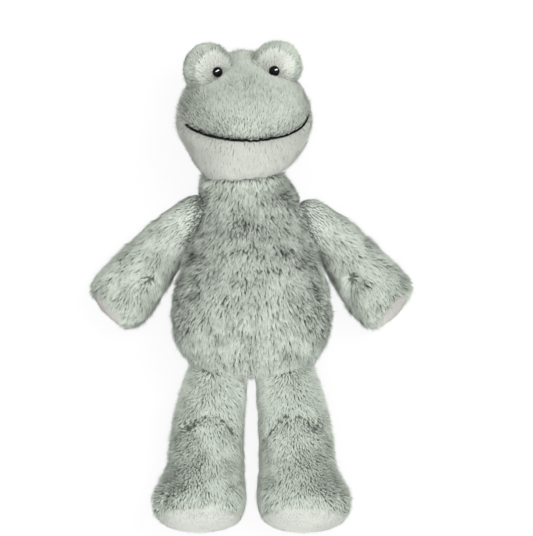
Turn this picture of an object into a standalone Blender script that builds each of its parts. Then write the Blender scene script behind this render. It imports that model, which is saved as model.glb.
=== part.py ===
"""Plush frog, lying on its back: separate sewn skins over fibre filling, with safety eyes.

Metres, +Z up out of the belly, +Y towards the head, +X towards the toy's left arm.
The origin is on the surface that the toy lies on, under the middle of its length and span.
"""

import math

import bmesh
import bpy
from mathutils import Euler, Matrix, Vector

# Fits between pieces
GAP = 0.0003
OVERRUN = 0.0300
FLAT_CUT = 0.0005
SKIN = 0.0026

# Lengths along the toy: hip seam to heels, hip seam to neck pivot, neck pivot to the top of the head
LEG_LENGTH = 0.1113
TORSO_LENGTH = 0.1400
HEAD_REACH = 0.0794

# Torso
TORSO_WIDTH = 0.1080
TORSO_DEPTH = 0.0785
NECK_LEAN = 0.0055
# Along from the hip seam, half width, half depth, height of the centre, lean
TORSO_SHARES = (
    (-0.050, 0.240, 0.205, 0.400, 0.0),
    (-0.004, 0.372, 0.325, 0.395, 0.0),
    (0.105, 0.470, 0.440, 0.432, 0.0),
    (0.250, 0.505, 0.506, 0.500, 0.0),
    (0.410, 0.465, 0.490, 0.482, 0.0),
    (0.585, 0.390, 0.440, 0.434, 0.0),
    (0.745, 0.318, 0.375, 0.388, 0.2),
    (0.880, 0.268, 0.305, 0.400, 0.9),
    (0.968, 0.262, 0.295, 0.410, 1.1),
)
# The filled room inside it ends in the neck's gathered opening
NECK_OPENING_WIDTH = 0.0330
ARM_CLEAR_FROM_ROW = 3
LEG_CLEAR_TO_ROW = 6
NECK_CLEAR_FROM_ROW = 4
TORSO_ROOM_ROWS = 7
NECK_OPENING_ALONG_SHARES = (0.830, 0.930)

# Neck
NECK_BALL_RADIUS = 0.0260
NECK_BALL_GAP = 0.0006
NECK_HEIGHT_SHARE = 0.41
NECK_THREAD_RADIUS = 0.0006
NECK_THREAD_RING = 0.0130
NECK_EASE = 0.0032
NOD_RANGE = math.radians(20)
TURN_RANGE = math.radians(30)
# Nod and turn of the poses that the head is cut clear of
NECK_POSE_SHARES = ((0, 0), (1, 0), (-1, 0), (1, 1), (1, -1), (-1, 1), (-1, -1))

# Head, in its own straight frame at the neck pivot, turned and leaned as it lies
HEAD_TURN = math.radians(10.5)
HEAD_LEAN = math.radians(2.3)
HEAD_HEIGHT = 0.0860
HEAD_WIDTH = 0.0930
HEAD_DEPTH = 0.0860
HEAD_DROP = 0.0125
# Up from the chin, half width, half depth, forward shift of the centre
HEAD_SHARES = (
    (0.025, 0.270, 0.230, 0.100),
    (0.095, 0.370, 0.370, 0.116),
    (0.235, 0.455, 0.460, 0.123),
    (0.400, 0.515, 0.505, 0.121),
    (0.570, 0.500, 0.465, 0.088),
    (0.735, 0.425, 0.365, 0.010),
    (0.880, 0.310, 0.245, -0.060),
    (0.985, 0.165, 0.140, -0.080),
)
HEAD_ROOM_FROM_ROW = 1
MOUTH_TILT = math.radians(28)
MOUTH_HEIGHT_SHARE = 0.290
JAW_SEAM_SHARE = 0.050
MOUTH_CORD_RADIUS = 0.0008
MOUTH_SWEEP = math.radians(66)
MOUTH_POINTS = 17

# Eye domes, each in a frame that looks along its eye
DOME_SPREAD = 0.0235
DOME_RISE = 0.0608
DOME_FORWARD = 0.0120
DOME_WIDTH = 0.0340
DOME_HEIGHT = 0.0356
DOME_DEPTH = 0.0270
DOME_TURN_IN = math.radians(15)
DOME_TURN_DOWN = math.radians(11)
PATCH_FROM_SHARE = 0.27

# Safety eye and its lock washer
EYE_RADIUS = 0.0037
EYE_RIM = 0.0006
EYE_DOME = 0.0027
STEM_RADIUS = 0.0012
STEM_LENGTH = 0.0120
STEM_RIB = 0.0003
STEM_RIBS = 3
EYE_SINK = 0.0012
WASHER_RADIUS = 0.0055
WASHER_THICKNESS = 0.0012

# Arms, each a sleeve from the side seam to the paw
SEAM_TOP_ALONG_SHARE = 0.793
SEAM_LOW_ALONG_SHARE = 0.540
SEAM_TOP_WIDTH_SHARE = 0.300
SEAM_LOW_WIDTH_SHARE = 0.408
SEAM_HEIGHT_SHARE = 0.400
ARM_LENGTH = 0.0845
ARM_WIDTH = 0.0460
ARM_DEPTH = 0.0380
ARM_DROOP = math.radians(44.5)
# Along from the seam, sideways towards the shoulder, half width, half depth, seam slant, lift
ARM_SHARES = (
    (-0.210, 0.030, 0.300, 0.120, 0.40, 1.0),
    (0.030, 0.120, 0.385, 0.230, 0.20, 0.80),
    (0.260, 0.138, 0.375, 0.410, 0.05, 0.0),
    (0.570, 0.070, 0.462, 0.485, 0.03, 0.0),
    (0.835, 0.013, 0.515, 0.510, 0.00, 0.0),
    (0.985, 0.030, 0.400, 0.400, 0.00, 0.06),
)
ARM_SWING = (math.radians(-45), 0, math.radians(30), math.radians(60))
PAW_PAD_TILT = math.radians(20)
PAW_PAD_FROM_SHARE = 0.930

# Legs, each a tube from the hip seam to the sole
HIP_SPREAD = 0.0225
HIP_HEIGHT_SHARE = 0.400
LEG_WIDTH = 0.0520
LEG_DEPTH = 0.0440
FOOT_SPREAD = 0.0355
FOOT_WIDTH = 0.0660
FOOT_DEPTH = 0.0580
# Along from the seam, spread, half width, half depth, lift to the seam, how much of a foot
LEG_SHARES = (
    (-0.020, 0.00, 0.370, 0.120, 1.0, 0.0),
    (0.095, 0.22, 0.430, 0.370, 0.3, 0.0),
    (0.275, 0.52, 0.480, 0.490, 0.0, 0.0),
    (0.480, 0.66, 0.505, 0.500, 0.0, 0.0),
    (0.670, 0.80, 0.500, 0.490, 0.0, 0.3),
    (0.860, 1.00, 0.530, 0.520, 0.0, 0.9),
    (0.985, 0.97, 0.380, 0.380, 0.1, 1.0),
)
LEG_SWING = (math.radians(-25), 0, math.radians(40), math.radians(75))
LIMB_ROOM_FROM_ROW = 2
SOLE_TILT = math.radians(17)
SOLE_FROM_SHARE = 0.920

# How finely the forms are rounded, and how far apart points of one piece may be joined
MERGE = 0.00001
RING_SIDES = 6
FORM_LEVELS = 2
ROOM_LEVELS = 1
BALL_SEGMENTS = 24
ROUND_STEPS = 16

# Places that follow from the sizes
TOY_LENGTH = LEG_LENGTH + TORSO_LENGTH + HEAD_REACH
HIP_Y = LEG_LENGTH - TOY_LENGTH / 2
NECK_PIVOT = Vector((-NECK_LEAN, HIP_Y + TORSO_LENGTH, NECK_HEIGHT_SHARE * TORSO_DEPTH))
# A cage ring stands this much outside the form that it is smoothed to, fully or once
RING_GAIN = 3 / (2 + math.cos(2 * math.pi / RING_SIDES))
ROOM_GAIN = 4 / (3 + math.cos(2 * math.pi / RING_SIDES))

for old in list(bpy.data.objects):
    bpy.data.objects.remove(old, do_unlink=True)

PARTS = bpy.data.collections.new("plush_frog")
CUTTERS = bpy.data.collections.new("cutters")
for collection in (PARTS, CUTTERS):
    bpy.context.scene.collection.children.link(collection)


def finish(name, colour, roughness, sheen=0.0):
    """A material with one plain colour."""
    made = bpy.data.materials.new(name)
    made.use_nodes = True
    shader = made.node_tree.nodes["Principled BSDF"]
    shader.inputs["Base Color"].default_value = (*colour, 1.0)
    shader.inputs["Roughness"].default_value = roughness
    shader.inputs["Metallic"].default_value = 0.0
    shader.inputs["Sheen Weight"].default_value = sheen
    made.diffuse_color = (*colour, 1.0)
    return made


LONG_PILE = finish("long_pile", (0.40, 0.46, 0.41), 0.95, 0.3)
SAGE_PILE = finish("sage_pile", (0.47, 0.54, 0.46), 0.95, 0.3)
PALE_PILE = finish("pale_pile", (0.64, 0.68, 0.62), 0.95, 0.3)
PAD_CLOTH = finish("pad_cloth", (0.62, 0.62, 0.58), 0.90, 0.2)
FILLING = finish("fibre_filling", (0.88, 0.88, 0.86), 0.95)
EYE_PLASTIC = finish("black_gloss_plastic", (0.012, 0.012, 0.013), 0.08)
WASHER_PLASTIC = finish("white_plastic", (0.78, 0.78, 0.76), 0.45)
MOUTH_CORD = finish("dark_cord", (0.030, 0.036, 0.034), 0.85)
THREAD = finish("sewing_thread", (0.44, 0.50, 0.44), 0.80)


def new_object(name, mesh, collection=PARTS, material=None):
    """An object in one of the two collections; what isn't a part is drawn as wires."""
    made = bpy.data.objects.new(name, mesh)
    collection.objects.link(made)
    if material:
        mesh.materials.append(material)
    if collection is CUTTERS:
        made.hide_render = True
        made.display_type = "WIRE"
    return made


def mesh_from(name, shape):
    """A mesh of a bmesh, with its faces turned outwards and shaded smooth."""
    bmesh.ops.recalc_face_normals(shape, faces=shape.faces)
    for face in shape.faces:
        face.smooth = True
    mesh = bpy.data.meshes.new(name)
    shape.to_mesh(mesh)
    shape.free()
    return mesh


def ring_cage(name, rows, grow, gain):
    """A closed cage of rings. A row is a centre, two directions, and the half sizes along them."""
    shape = bmesh.new()
    rings = []
    for row, (centre, across, upward, half_width, half_depth) in enumerate(rows):
        along = across.cross(upward).normalized()
        end = (row == len(rows) - 1) - (row == 0)
        middle = centre + along * end * grow
        ring = []
        for corner in range(RING_SIDES):
            turn = 2 * math.pi * corner / RING_SIDES
            out = across * math.cos(turn) * (half_width + grow)
            out += upward * math.sin(turn) * (half_depth + grow)
            ring.append(shape.verts.new(middle + out * gain))
        rings.append(ring)
    for lower, upper in zip(rings, rings[1:]):
        for corner in range(RING_SIDES):
            after = (corner + 1) % RING_SIDES
            shape.faces.new((lower[corner], lower[after], upper[after], upper[corner]))
    shape.faces.new(rings[0])
    shape.faces.new(rings[-1])
    return mesh_from(name, shape)


def round_off(piece, levels):
    """Smooths a cage into a stuffed form."""
    rounding = piece.modifiers.new("rounding", "SUBSURF")
    rounding.levels = levels
    rounding.render_levels = levels
    splitting = piece.modifiers.new("splitting", "TRIANGULATE")
    splitting.quad_method = "FIXED"


def stuffed(name, rows, grow=0.0, levels=FORM_LEVELS, collection=PARTS, material=None):
    """A stuffed form through its rows, wholly grown or shrunk."""
    gain = RING_GAIN if levels == FORM_LEVELS else ROOM_GAIN
    piece = new_object(name, ring_cage(name, rows, grow, gain), collection, material)
    round_off(piece, levels)
    return piece


def carve(piece, other, operation="DIFFERENCE"):
    """Cuts, keeps or joins a piece with another closed object, or cuts it with a collection."""
    step = piece.modifiers.new(operation.lower(), "BOOLEAN")
    step.operation = operation
    step.solver = "EXACT"
    if isinstance(other, bpy.types.Collection):
        step.operand_type = "COLLECTION"
        step.collection = other
    else:
        step.object = other
    return piece


def ball(name, centre, radius, segments=BALL_SEGMENTS, collection=CUTTERS):
    shape = bmesh.new()
    bmesh.ops.create_uvsphere(shape, u_segments=segments, v_segments=segments // 2, radius=radius)
    made = new_object(name, mesh_from(name, shape), collection)
    made.location = centre
    return made


def block(name, low, high, place=None):
    """A box cutter between two corners, in the frame of a matrix."""
    shape = bmesh.new()
    bmesh.ops.create_cube(shape, size=1.0)
    size = Vector(high) - Vector(low)
    middle = (Vector(high) + Vector(low)) / 2
    shape.transform(Matrix.Translation(middle) @ Matrix.Diagonal((*size, 1.0)))
    made = new_object(name, mesh_from(name, shape), CUTTERS)
    if place is not None:
        made.matrix_world = place
    return made


def about(pivot, turn):
    """A turn about a point instead of the origin."""
    return Matrix.Translation(pivot) @ turn.to_4x4() @ Matrix.Translation(-pivot)


def swept(name, source, pivot, turns):
    """A collection of copies of a cutter, as a piece that turns about the pivot meets it."""
    group = bpy.data.collections.new(name)
    CUTTERS.children.link(group)
    for number, turn in enumerate(turns):
        copy = source.copy()
        copy.name = f"{name}_{number}"
        copy.matrix_world = about(pivot, turn) @ source.matrix_world
        group.objects.link(copy)
    return group


def settled(piece):
    """The piece with its modifiers applied."""
    graph = bpy.context.evaluated_depsgraph_get()
    mesh = bpy.data.meshes.new_from_object(piece.evaluated_get(graph))
    piece.modifiers.clear()
    piece.data = mesh
    return piece


def empty(name, place):
    """A frame that pieces are parented to."""
    made = bpy.data.objects.new(name, None)
    made.empty_display_size = SKIN
    PARTS.objects.link(made)
    made.matrix_world = place
    bpy.context.view_layer.update()
    return made


def hang(piece, carrier):
    """Parents a piece that is modelled in its carrier's own frame."""
    piece.parent = carrier
    return piece


def turned_profile(name, outline, place=None, collection=PARTS, material=None, ring=False):
    """A turned piece about a frame's Z, from points of radius and height, top to bottom."""
    mesh = bpy.data.meshes.new(name)
    points = [(radius, 0.0, height) for radius, height in outline]
    edges = [(spot, spot + 1) for spot in range(len(points) - 1)]
    if ring:
        edges.append((len(points) - 1, 0))
    mesh.from_pydata(points, edges, [])
    made = new_object(name, mesh, collection, material)
    turning = made.modifiers.new("turning", "SCREW")
    turning.axis = "Z"
    turning.steps = ROUND_STEPS
    turning.render_steps = ROUND_STEPS
    turning.use_merge_vertices = True
    turning.merge_threshold = MERGE
    turning.use_smooth_shade = True
    if place is not None:
        made.matrix_world = place
    return made


BED = block(
    "bed",
    (-TOY_LENGTH, -TOY_LENGTH, -OVERRUN),
    (TOY_LENGTH, TOY_LENGTH, 0),
)


def torso_row(along, half_width, half_depth, height, lean):
    """One ring of the torso, upright across the toy's length."""
    centre = Vector((-lean * NECK_LEAN, HIP_Y + along * TORSO_LENGTH, height * TORSO_DEPTH))
    sizes = (half_width * TORSO_WIDTH, half_depth * TORSO_DEPTH)
    return (centre, Vector((0, 0, 1)), Vector((1, 0, 0)), sizes[1], sizes[0])


def make_torso():
    """The body's skin, its filling, and the cutters that keep arms, legs and head clear of it."""
    rows = [torso_row(*shares) for shares in TORSO_SHARES]
    skin = stuffed("torso_skin", rows, material=LONG_PILE)
    carve(skin, BED)
    cup = ball("neck_cup", NECK_PIVOT, NECK_BALL_RADIUS + NECK_BALL_GAP)
    carve(skin, cup)

    opening = NECK_OPENING_WIDTH / 2
    room_rows = rows[:TORSO_ROOM_ROWS]
    for along in NECK_OPENING_ALONG_SHARES:
        centre = Vector((NECK_PIVOT.x, HIP_Y + along * TORSO_LENGTH, NECK_PIVOT.z))
        size = opening + SKIN
        room_rows.append((centre, Vector((0, 0, 1)), Vector((1, 0, 0)), size, size))
    room = stuffed("torso_room", room_rows, -SKIN, ROOM_LEVELS, CUTTERS)
    carve(skin, room)

    filling = stuffed("torso_stuffing", room_rows, -SKIN - GAP, ROOM_LEVELS, material=FILLING)
    thread_room = NECK_BALL_GAP + 2 * NECK_THREAD_RADIUS + 2 * GAP
    carve(filling, ball("thread_room", NECK_PIVOT, NECK_BALL_RADIUS + thread_room))

    arm_clear = stuffed("arm_clearance", rows[ARM_CLEAR_FROM_ROW:], GAP, collection=CUTTERS)
    leg_clear = stuffed("leg_clearance", rows[:LEG_CLEAR_TO_ROW], GAP, collection=CUTTERS)
    neck_rows = rows[NECK_CLEAR_FROM_ROW:]
    neck_clear = stuffed("neck_clearance", neck_rows, NECK_EASE, ROOM_LEVELS, CUTTERS)
    for piece in (skin, filling, arm_clear, leg_clear, neck_clear):
        settled(piece)
    return arm_clear, leg_clear, neck_clear


def make_neck_thread():
    """The gathering thread, a ring that lies between the head's ball and the filling."""
    reach = NECK_BALL_RADIUS + NECK_BALL_GAP + NECK_THREAD_RADIUS
    drop = math.sqrt(reach**2 - NECK_THREAD_RING**2)
    place = Matrix.Translation(NECK_PIVOT) @ Matrix.Rotation(math.radians(90), 4, "X")
    outline = []
    for step in range(ROUND_STEPS // 2):
        turn = math.pi / 2 - 4 * math.pi * step / ROUND_STEPS
        out = NECK_THREAD_RING + NECK_THREAD_RADIUS * math.cos(turn)
        outline.append((out, drop + NECK_THREAD_RADIUS * math.sin(turn)))
    return turned_profile("neck_thread", outline, place, material=THREAD, ring=True)


def head_row(along, half_width, half_depth, forward):
    """One ring of the head, across its own upright axis."""
    centre = Vector((0, along * HEAD_HEIGHT - HEAD_DROP, forward * HEAD_DEPTH))
    sizes = (half_width * HEAD_WIDTH, half_depth * HEAD_DEPTH)
    return (centre, Vector((0, 0, 1)), Vector((1, 0, 0)), sizes[1], sizes[0])


def mouth_frame():
    """The mouth seam's plane: its own Z is the plane's upward side, its origin at the front."""
    front = HEAD_SHARES[2]
    centre = Vector(
        (
            0,
            MOUTH_HEIGHT_SHARE * HEAD_HEIGHT - HEAD_DROP,
            (front[2] + front[3]) * HEAD_DEPTH,
        )
    )
    slope = Matrix.Rotation(math.radians(-90) + MOUTH_TILT, 4, "X")
    return Matrix.Translation(centre) @ slope


def head_form(head, lie, rows, neck_clear):
    """The whole head on its neck ball, cut clear of the torso in every pose of the neck."""
    form = hang(stuffed("head_form", rows, collection=CUTTERS), head)
    knob = hang(ball("neck_ball", Vector((0, 0, 0)), NECK_BALL_RADIUS), head)
    nod_axis = lie.to_3x3() @ Vector((1, 0, 0))
    turns = []
    for nod_share, turn_share in NECK_POSE_SHARES:
        nod = Matrix.Rotation(-nod_share * NOD_RANGE, 3, nod_axis)
        turns.append(nod @ Matrix.Rotation(-turn_share * TURN_RANGE, 3, "Y"))
    carve(form, BED)
    carve(form, swept("neck_sweep", neck_clear, NECK_PIVOT, turns))
    carve(form, knob, "UNION")
    return settled(form)


def split_head(head, form, room, seam):
    """The crown and the jaw: the jaw lies below the mouth seam and in front of the side seams."""
    far = HEAD_WIDTH + OVERRUN
    side_seam = JAW_SEAM_SHARE * HEAD_DEPTH
    raised = Matrix.Translation(seam.to_3x3() @ Vector((0, 0, GAP))) @ seam
    low, high = (-far, -far, -far), (far, far, side_seam)
    below = block("below_mouth", low, (far, far, 0), seam)
    behind = block("behind_jaw", low, high)
    jaw_room = block("jaw_room", low, (far, far, 0), raised)
    back_room = block("back_room", low, (far, far, side_seam - GAP))
    jaw = new_object("head_jaw", form.data.copy(), material=PALE_PILE)
    crown = new_object("head_crown", form.data.copy(), material=SAGE_PILE)
    for piece in (below, behind, jaw_room, back_room, jaw, crown):
        hang(piece, head)
    carve(jaw, below, "INTERSECT")
    carve(jaw, behind)
    carve(jaw_room, back_room)
    carve(crown, jaw_room)
    for panel in (jaw, crown):
        carve(panel, room)
    return crown, jaw


def make_head(neck_clear):
    """The head's panels, the mouth's cord and the filling, in the head's own frame."""
    lie = Matrix.Translation(NECK_PIVOT)
    lie = lie @ Matrix.Rotation(HEAD_TURN, 4, "Y") @ Matrix.Rotation(HEAD_LEAN, 4, "Z")
    head = empty("head_frame", lie)
    rows = [head_row(*shares) for shares in HEAD_SHARES]
    room_rows = rows[HEAD_ROOM_FROM_ROW:]
    form = head_form(head, lie, rows, neck_clear)
    room = hang(stuffed("head_room", room_rows, -SKIN, ROOM_LEVELS, CUTTERS), head)
    seam = mouth_frame()
    crown, jaw = split_head(head, form, room, seam)
    make_mouth(form, head, seam, (crown, jaw))
    filling = stuffed("head_stuffing", room_rows, -SKIN - GAP, ROOM_LEVELS, material=FILLING)
    hang(filling, head)
    clear = stuffed("head_clearance", rows, GAP, collection=CUTTERS)
    return head, hang(clear, head), (crown, filling)


def mouth_route(form, seam):
    """Points on the head's surface along the mouth seam, from corner to corner."""
    graph = bpy.context.evaluated_depsgraph_get()
    surface = form.evaluated_get(graph)
    middle = seam @ Vector((0, HEAD_DEPTH / 2, GAP / 2))
    route = []
    for step in range(MOUTH_POINTS):
        turn = MOUTH_SWEEP * (2 * step / (MOUTH_POINTS - 1) - 1)
        heading = seam.to_3x3() @ Vector((math.sin(turn), -math.cos(turn), 0))
        outside = middle + heading * HEAD_DEPTH
        found, spot, _, _ = surface.ray_cast(outside, -heading)
        route.append(spot)
    return route


def cord_tube(name, route, radius, collection, material=None):
    """A round cord along points, with closed ends."""
    line = bpy.data.curves.new(name, "CURVE")
    line.dimensions = "3D"
    spline = line.splines.new("POLY")
    spline.points.add(len(route) - 1)
    for point, spot in zip(spline.points, route):
        point.co = (*spot, 1.0)
    line.bevel_depth = radius
    line.bevel_resolution = 1
    line.use_fill_caps = True
    guide = new_object(name + "_guide", line, CUTTERS)
    graph = bpy.context.evaluated_depsgraph_get()
    mesh = bpy.data.meshes.new_from_object(guide.evaluated_get(graph))
    bpy.data.objects.remove(guide)
    shape = bmesh.new()
    shape.from_mesh(mesh)
    bmesh.ops.remove_doubles(shape, verts=shape.verts, dist=MERGE)
    return new_object(name, mesh_from(name, shape), collection, material)


def make_mouth(form, head, seam, panels):
    """The mouth's cord, laid in a groove along the seam of both panels."""
    route = mouth_route(form, seam)
    cord = cord_tube("mouth_line", route, MOUTH_CORD_RADIUS, PARTS, MOUTH_CORD)
    groove = cord_tube("mouth_groove", route, MOUTH_CORD_RADIUS + GAP, CUTTERS)
    for piece in (cord, groove):
        hang(piece, head)
    for panel in panels:
        carve(panel, groove)


def eye_outline():
    """Half of a safety eye: a dome with a rim, and a ribbed stem behind it."""
    outline = [(0.0, EYE_DOME)]
    steps = ROUND_STEPS // 3
    for step in range(1, steps):
        turn = math.pi / 2 * (1 - step / steps)
        outline.append((EYE_RADIUS * math.cos(turn), EYE_DOME * math.sin(turn)))
    outline += [(EYE_RADIUS, 0.0), (EYE_RADIUS, -EYE_RIM), (STEM_RADIUS, -EYE_RIM)]
    pitch = (STEM_LENGTH - EYE_RIM) / (STEM_RIBS + 1)
    for rib in range(1, STEM_RIBS + 1):
        height = -EYE_RIM - rib * pitch
        outline.append((STEM_RADIUS, height + STEM_RIB))
        outline.append((STEM_RADIUS + STEM_RIB, height))
        outline.append((STEM_RADIUS, height - STEM_RIB))
    outline += [(STEM_RADIUS, -STEM_LENGTH), (0.0, -STEM_LENGTH)]
    return outline


def eye_room_outline(split, seat, bore):
    """The space that an eye, its stem and its washer take in the dome and the head behind it."""
    wide = EYE_RADIUS + GAP
    under = seat - EYE_RIM - GAP
    pocket = WASHER_RADIUS + GAP
    pocket_back = split - WASHER_THICKNESS - 2 * GAP
    tip = seat - STEM_LENGTH - GAP
    return [
        (0.0, seat + OVERRUN),
        (wide, seat + OVERRUN),
        (wide, under),
        (bore, under),
        (bore, split + GAP),
        (pocket, split + GAP),
        (pocket, pocket_back),
        (bore, pocket_back),
        (bore, tip),
        (0.0, tip),
    ]


def washer_outline(split, bore):
    """Half of a lock washer's section, just behind the seam of its dome."""
    front = split - GAP
    back = front - WASHER_THICKNESS
    return [(bore, front), (WASHER_RADIUS, front), (WASHER_RADIUS, back), (bore, back)]


def dome(name, frame, material):
    """An eye dome, a little flattened, before it is cut into its two panels."""
    shape = bmesh.new()
    bmesh.ops.create_uvsphere(
        shape, u_segments=ROUND_STEPS, v_segments=ROUND_STEPS // 2, radius=1.0
    )
    half_sizes = (DOME_WIDTH / 2, DOME_HEIGHT / 2, DOME_DEPTH / 2, 1.0)
    shape.transform(Matrix.Diagonal(half_sizes))
    return hang(new_object(name, mesh_from(name, shape), PARTS, material), frame)


def make_eye(word, side, head, clear, behind):
    """One eye dome with its front patch, safety eye and lock washer."""
    look = Euler((DOME_TURN_DOWN, -side * DOME_TURN_IN, 0)).to_matrix().to_4x4()
    place = Matrix.Translation((side * DOME_SPREAD, DOME_RISE, DOME_FORWARD)) @ look
    frame = hang(empty("eye_frame_" + word, place), head)
    bpy.context.view_layer.update()

    bore = STEM_RADIUS + STEM_RIB + GAP
    split = PATCH_FROM_SHARE * DOME_DEPTH
    seat = DOME_DEPTH / 2 - EYE_SINK
    far = DOME_WIDTH + OVERRUN
    mound = dome("eye_mound_" + word, frame, SAGE_PILE)
    patch = dome("eye_patch_" + word, frame, PALE_PILE)
    ahead = block("before_mound_" + word, (-far, -far, split), (far, far, far))
    astern = block("behind_patch_" + word, (-far, -far, -far), (far, far, split + GAP))
    outline = eye_room_outline(split, seat, bore)
    room = turned_profile("eye_room_" + word, outline, collection=CUTTERS)
    for cutter in (ahead, astern, room):
        hang(cutter, frame)
    for piece, cutter in ((mound, ahead), (patch, astern)):
        carve(piece, clear)
        carve(piece, room)
        carve(piece, cutter)
    for piece in behind:
        carve(piece, room)

    eye_place = Matrix.Translation((0, 0, seat))
    eye = turned_profile("eye_" + word, eye_outline(), eye_place, material=EYE_PLASTIC)
    washer = turned_profile(
        "eye_washer_" + word, washer_outline(split, bore), material=WASHER_PLASTIC, ring=True
    )
    for piece in (eye, washer):
        hang(piece, frame)


def make_limb(names, rows, pad_place, hinge, colours, torso_clear):
    """A limb's skin, the pad that closes its end, and the filling in both."""
    skin_name, pad_name, filling_name = names
    pivot, axis, swing = hinge
    turns = [Matrix.Rotation(-angle, 3, axis) for angle in swing]
    sweep = swept(skin_name + "_sweep", torso_clear, pivot, turns)
    far = LEG_LENGTH + OVERRUN
    beyond = block(skin_name + "_end", (-far, -far, -GAP), (far, far, far), pad_place)
    before = block(pad_name + "_start", (-far, -far, -far), (far, far, 0), pad_place)
    room_rows = rows[LIMB_ROOM_FROM_ROW:]
    room = stuffed(skin_name + "_room", room_rows, -SKIN, ROOM_LEVELS, CUTTERS)

    skin = stuffed(skin_name, rows, material=colours[0])
    for cutter in (BED, beyond, sweep, room):
        carve(skin, cutter)
    pad = stuffed(pad_name, rows, material=colours[1])
    for cutter in (BED, before, room):
        carve(pad, cutter)
    stuffed(filling_name, room_rows, -SKIN - GAP, ROOM_LEVELS, material=FILLING)
    for piece in (skin, pad):
        settled(piece)


def arm_place(side):
    """The seam's two ends, its middle, and the directions along and across the arm."""
    height = SEAM_HEIGHT_SHARE * TORSO_DEPTH
    ends = []
    for along, wide in (
        (SEAM_TOP_ALONG_SHARE, SEAM_TOP_WIDTH_SHARE),
        (SEAM_LOW_ALONG_SHARE, SEAM_LOW_WIDTH_SHARE),
    ):
        ends.append(Vector((side * wide * TORSO_WIDTH, HIP_Y + along * TORSO_LENGTH, height)))
    top, low = ends
    outward = Vector((side * math.cos(ARM_DROOP), -math.sin(ARM_DROOP), 0))
    across = Vector((math.sin(ARM_DROOP), side * math.cos(ARM_DROOP), 0))
    return (top + low) / 2, (top - low).normalized(), outward, across


def make_arm(word, side, torso_clear):
    """One arm. It lies on its back from a little way off the seam."""
    root, seam, outward, across = arm_place(side)
    rows = []
    for along, sideways, half_width, half_depth, slant, lift in ARM_SHARES:
        centre = root + outward * along * ARM_LENGTH + across * side * sideways * ARM_WIDTH
        depth = half_depth * ARM_DEPTH
        centre.z = lift * root.z + (1 - lift) * (depth - FLAT_CUT)
        facing = (across * (1 - slant) + seam * side * slant).normalized()
        rows.append((centre, facing, Vector((0, 0, 1)), half_width * ARM_WIDTH, depth))
    end = root + outward * PAW_PAD_FROM_SHARE * ARM_LENGTH
    end.z = ARM_DEPTH / 2 - FLAT_CUT
    face = Matrix.Rotation(side * (math.pi / 2 - ARM_DROOP), 4, "Z")
    face = face @ Matrix.Rotation(math.pi / 2 - PAW_PAD_TILT, 4, "X")
    make_limb(
        ("arm_" + word, "paw_pad_" + word, "arm_stuffing_" + word),
        rows,
        Matrix.Translation(end) @ face,
        (root, seam * -side, ARM_SWING),
        (LONG_PILE, PAD_CLOTH),
        torso_clear,
    )


def make_leg(word, side, torso_clear):
    """One leg with its foot. The toe side is tipped back towards the knee."""
    hip = Vector((side * HIP_SPREAD, HIP_Y, HIP_HEIGHT_SHARE * TORSO_DEPTH))
    rows = []
    for along, spread, half_width, half_depth, lift, foot in LEG_SHARES:
        width = half_width * (LEG_WIDTH + foot * (FOOT_WIDTH - LEG_WIDTH))
        depth = half_depth * (LEG_DEPTH + foot * (FOOT_DEPTH - LEG_DEPTH))
        out = HIP_SPREAD + spread * (FOOT_SPREAD - HIP_SPREAD)
        height = lift * hip.z + (1 - lift) * (depth - FLAT_CUT)
        tilt = foot * SOLE_TILT
        upward = Vector((0, math.sin(tilt), math.cos(tilt)))
        centre = Vector((side * out, HIP_Y - along * LEG_LENGTH, height))
        rows.append((centre, Vector((1, 0, 0)), upward, width, depth))
    sole = Vector((side * FOOT_SPREAD, HIP_Y - SOLE_FROM_SHARE * LEG_LENGTH, FOOT_DEPTH / 2))
    face = Matrix.Rotation(math.pi / 2 - SOLE_TILT, 4, "X")
    make_limb(
        ("leg_" + word, "sole_pad_" + word, "leg_stuffing_" + word),
        rows,
        Matrix.Translation(sole) @ face,
        (hip, Vector((-1, 0, 0)), LEG_SWING),
        (LONG_PILE, PALE_PILE),
        torso_clear,
    )


ARM_CLEAR, LEG_CLEAR, NECK_CLEAR = make_torso()
make_neck_thread()
HEAD, HEAD_CLEAR, BEHIND_EYES = make_head(NECK_CLEAR)
for WORD, SIDE in (("left", 1), ("right", -1)):
    make_eye(WORD, SIDE, HEAD, HEAD_CLEAR, BEHIND_EYES)
    make_arm(WORD, SIDE, ARM_CLEAR)
    make_leg(WORD, SIDE, LEG_CLEAR)
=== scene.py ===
"""Plush frog lying on its back: stuffed skins with combed pile, sewn mouth and safety eyes."""

import math

import bmesh
import bpy
import numpy as np
from mathutils import Matrix, Vector, noise
from mathutils.bvhtree import BVHTree


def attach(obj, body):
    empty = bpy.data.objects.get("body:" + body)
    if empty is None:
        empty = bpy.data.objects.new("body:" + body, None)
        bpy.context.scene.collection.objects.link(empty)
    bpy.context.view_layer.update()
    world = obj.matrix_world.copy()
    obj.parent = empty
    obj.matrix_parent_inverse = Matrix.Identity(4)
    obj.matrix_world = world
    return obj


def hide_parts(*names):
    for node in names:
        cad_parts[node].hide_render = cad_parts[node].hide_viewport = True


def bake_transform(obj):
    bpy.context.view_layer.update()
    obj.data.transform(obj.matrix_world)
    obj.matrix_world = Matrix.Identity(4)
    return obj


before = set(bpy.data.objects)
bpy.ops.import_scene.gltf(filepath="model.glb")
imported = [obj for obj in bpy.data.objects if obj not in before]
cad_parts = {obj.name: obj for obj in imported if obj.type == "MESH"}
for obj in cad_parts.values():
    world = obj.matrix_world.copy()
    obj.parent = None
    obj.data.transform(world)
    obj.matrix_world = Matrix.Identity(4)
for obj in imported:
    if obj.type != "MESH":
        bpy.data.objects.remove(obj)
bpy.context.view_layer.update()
scene = bpy.context.scene

# Camera
# A camera straight above the toy, as in a product picture taken on a table. It sees
# 360 mm across at the height of the toy's outline.

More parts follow.
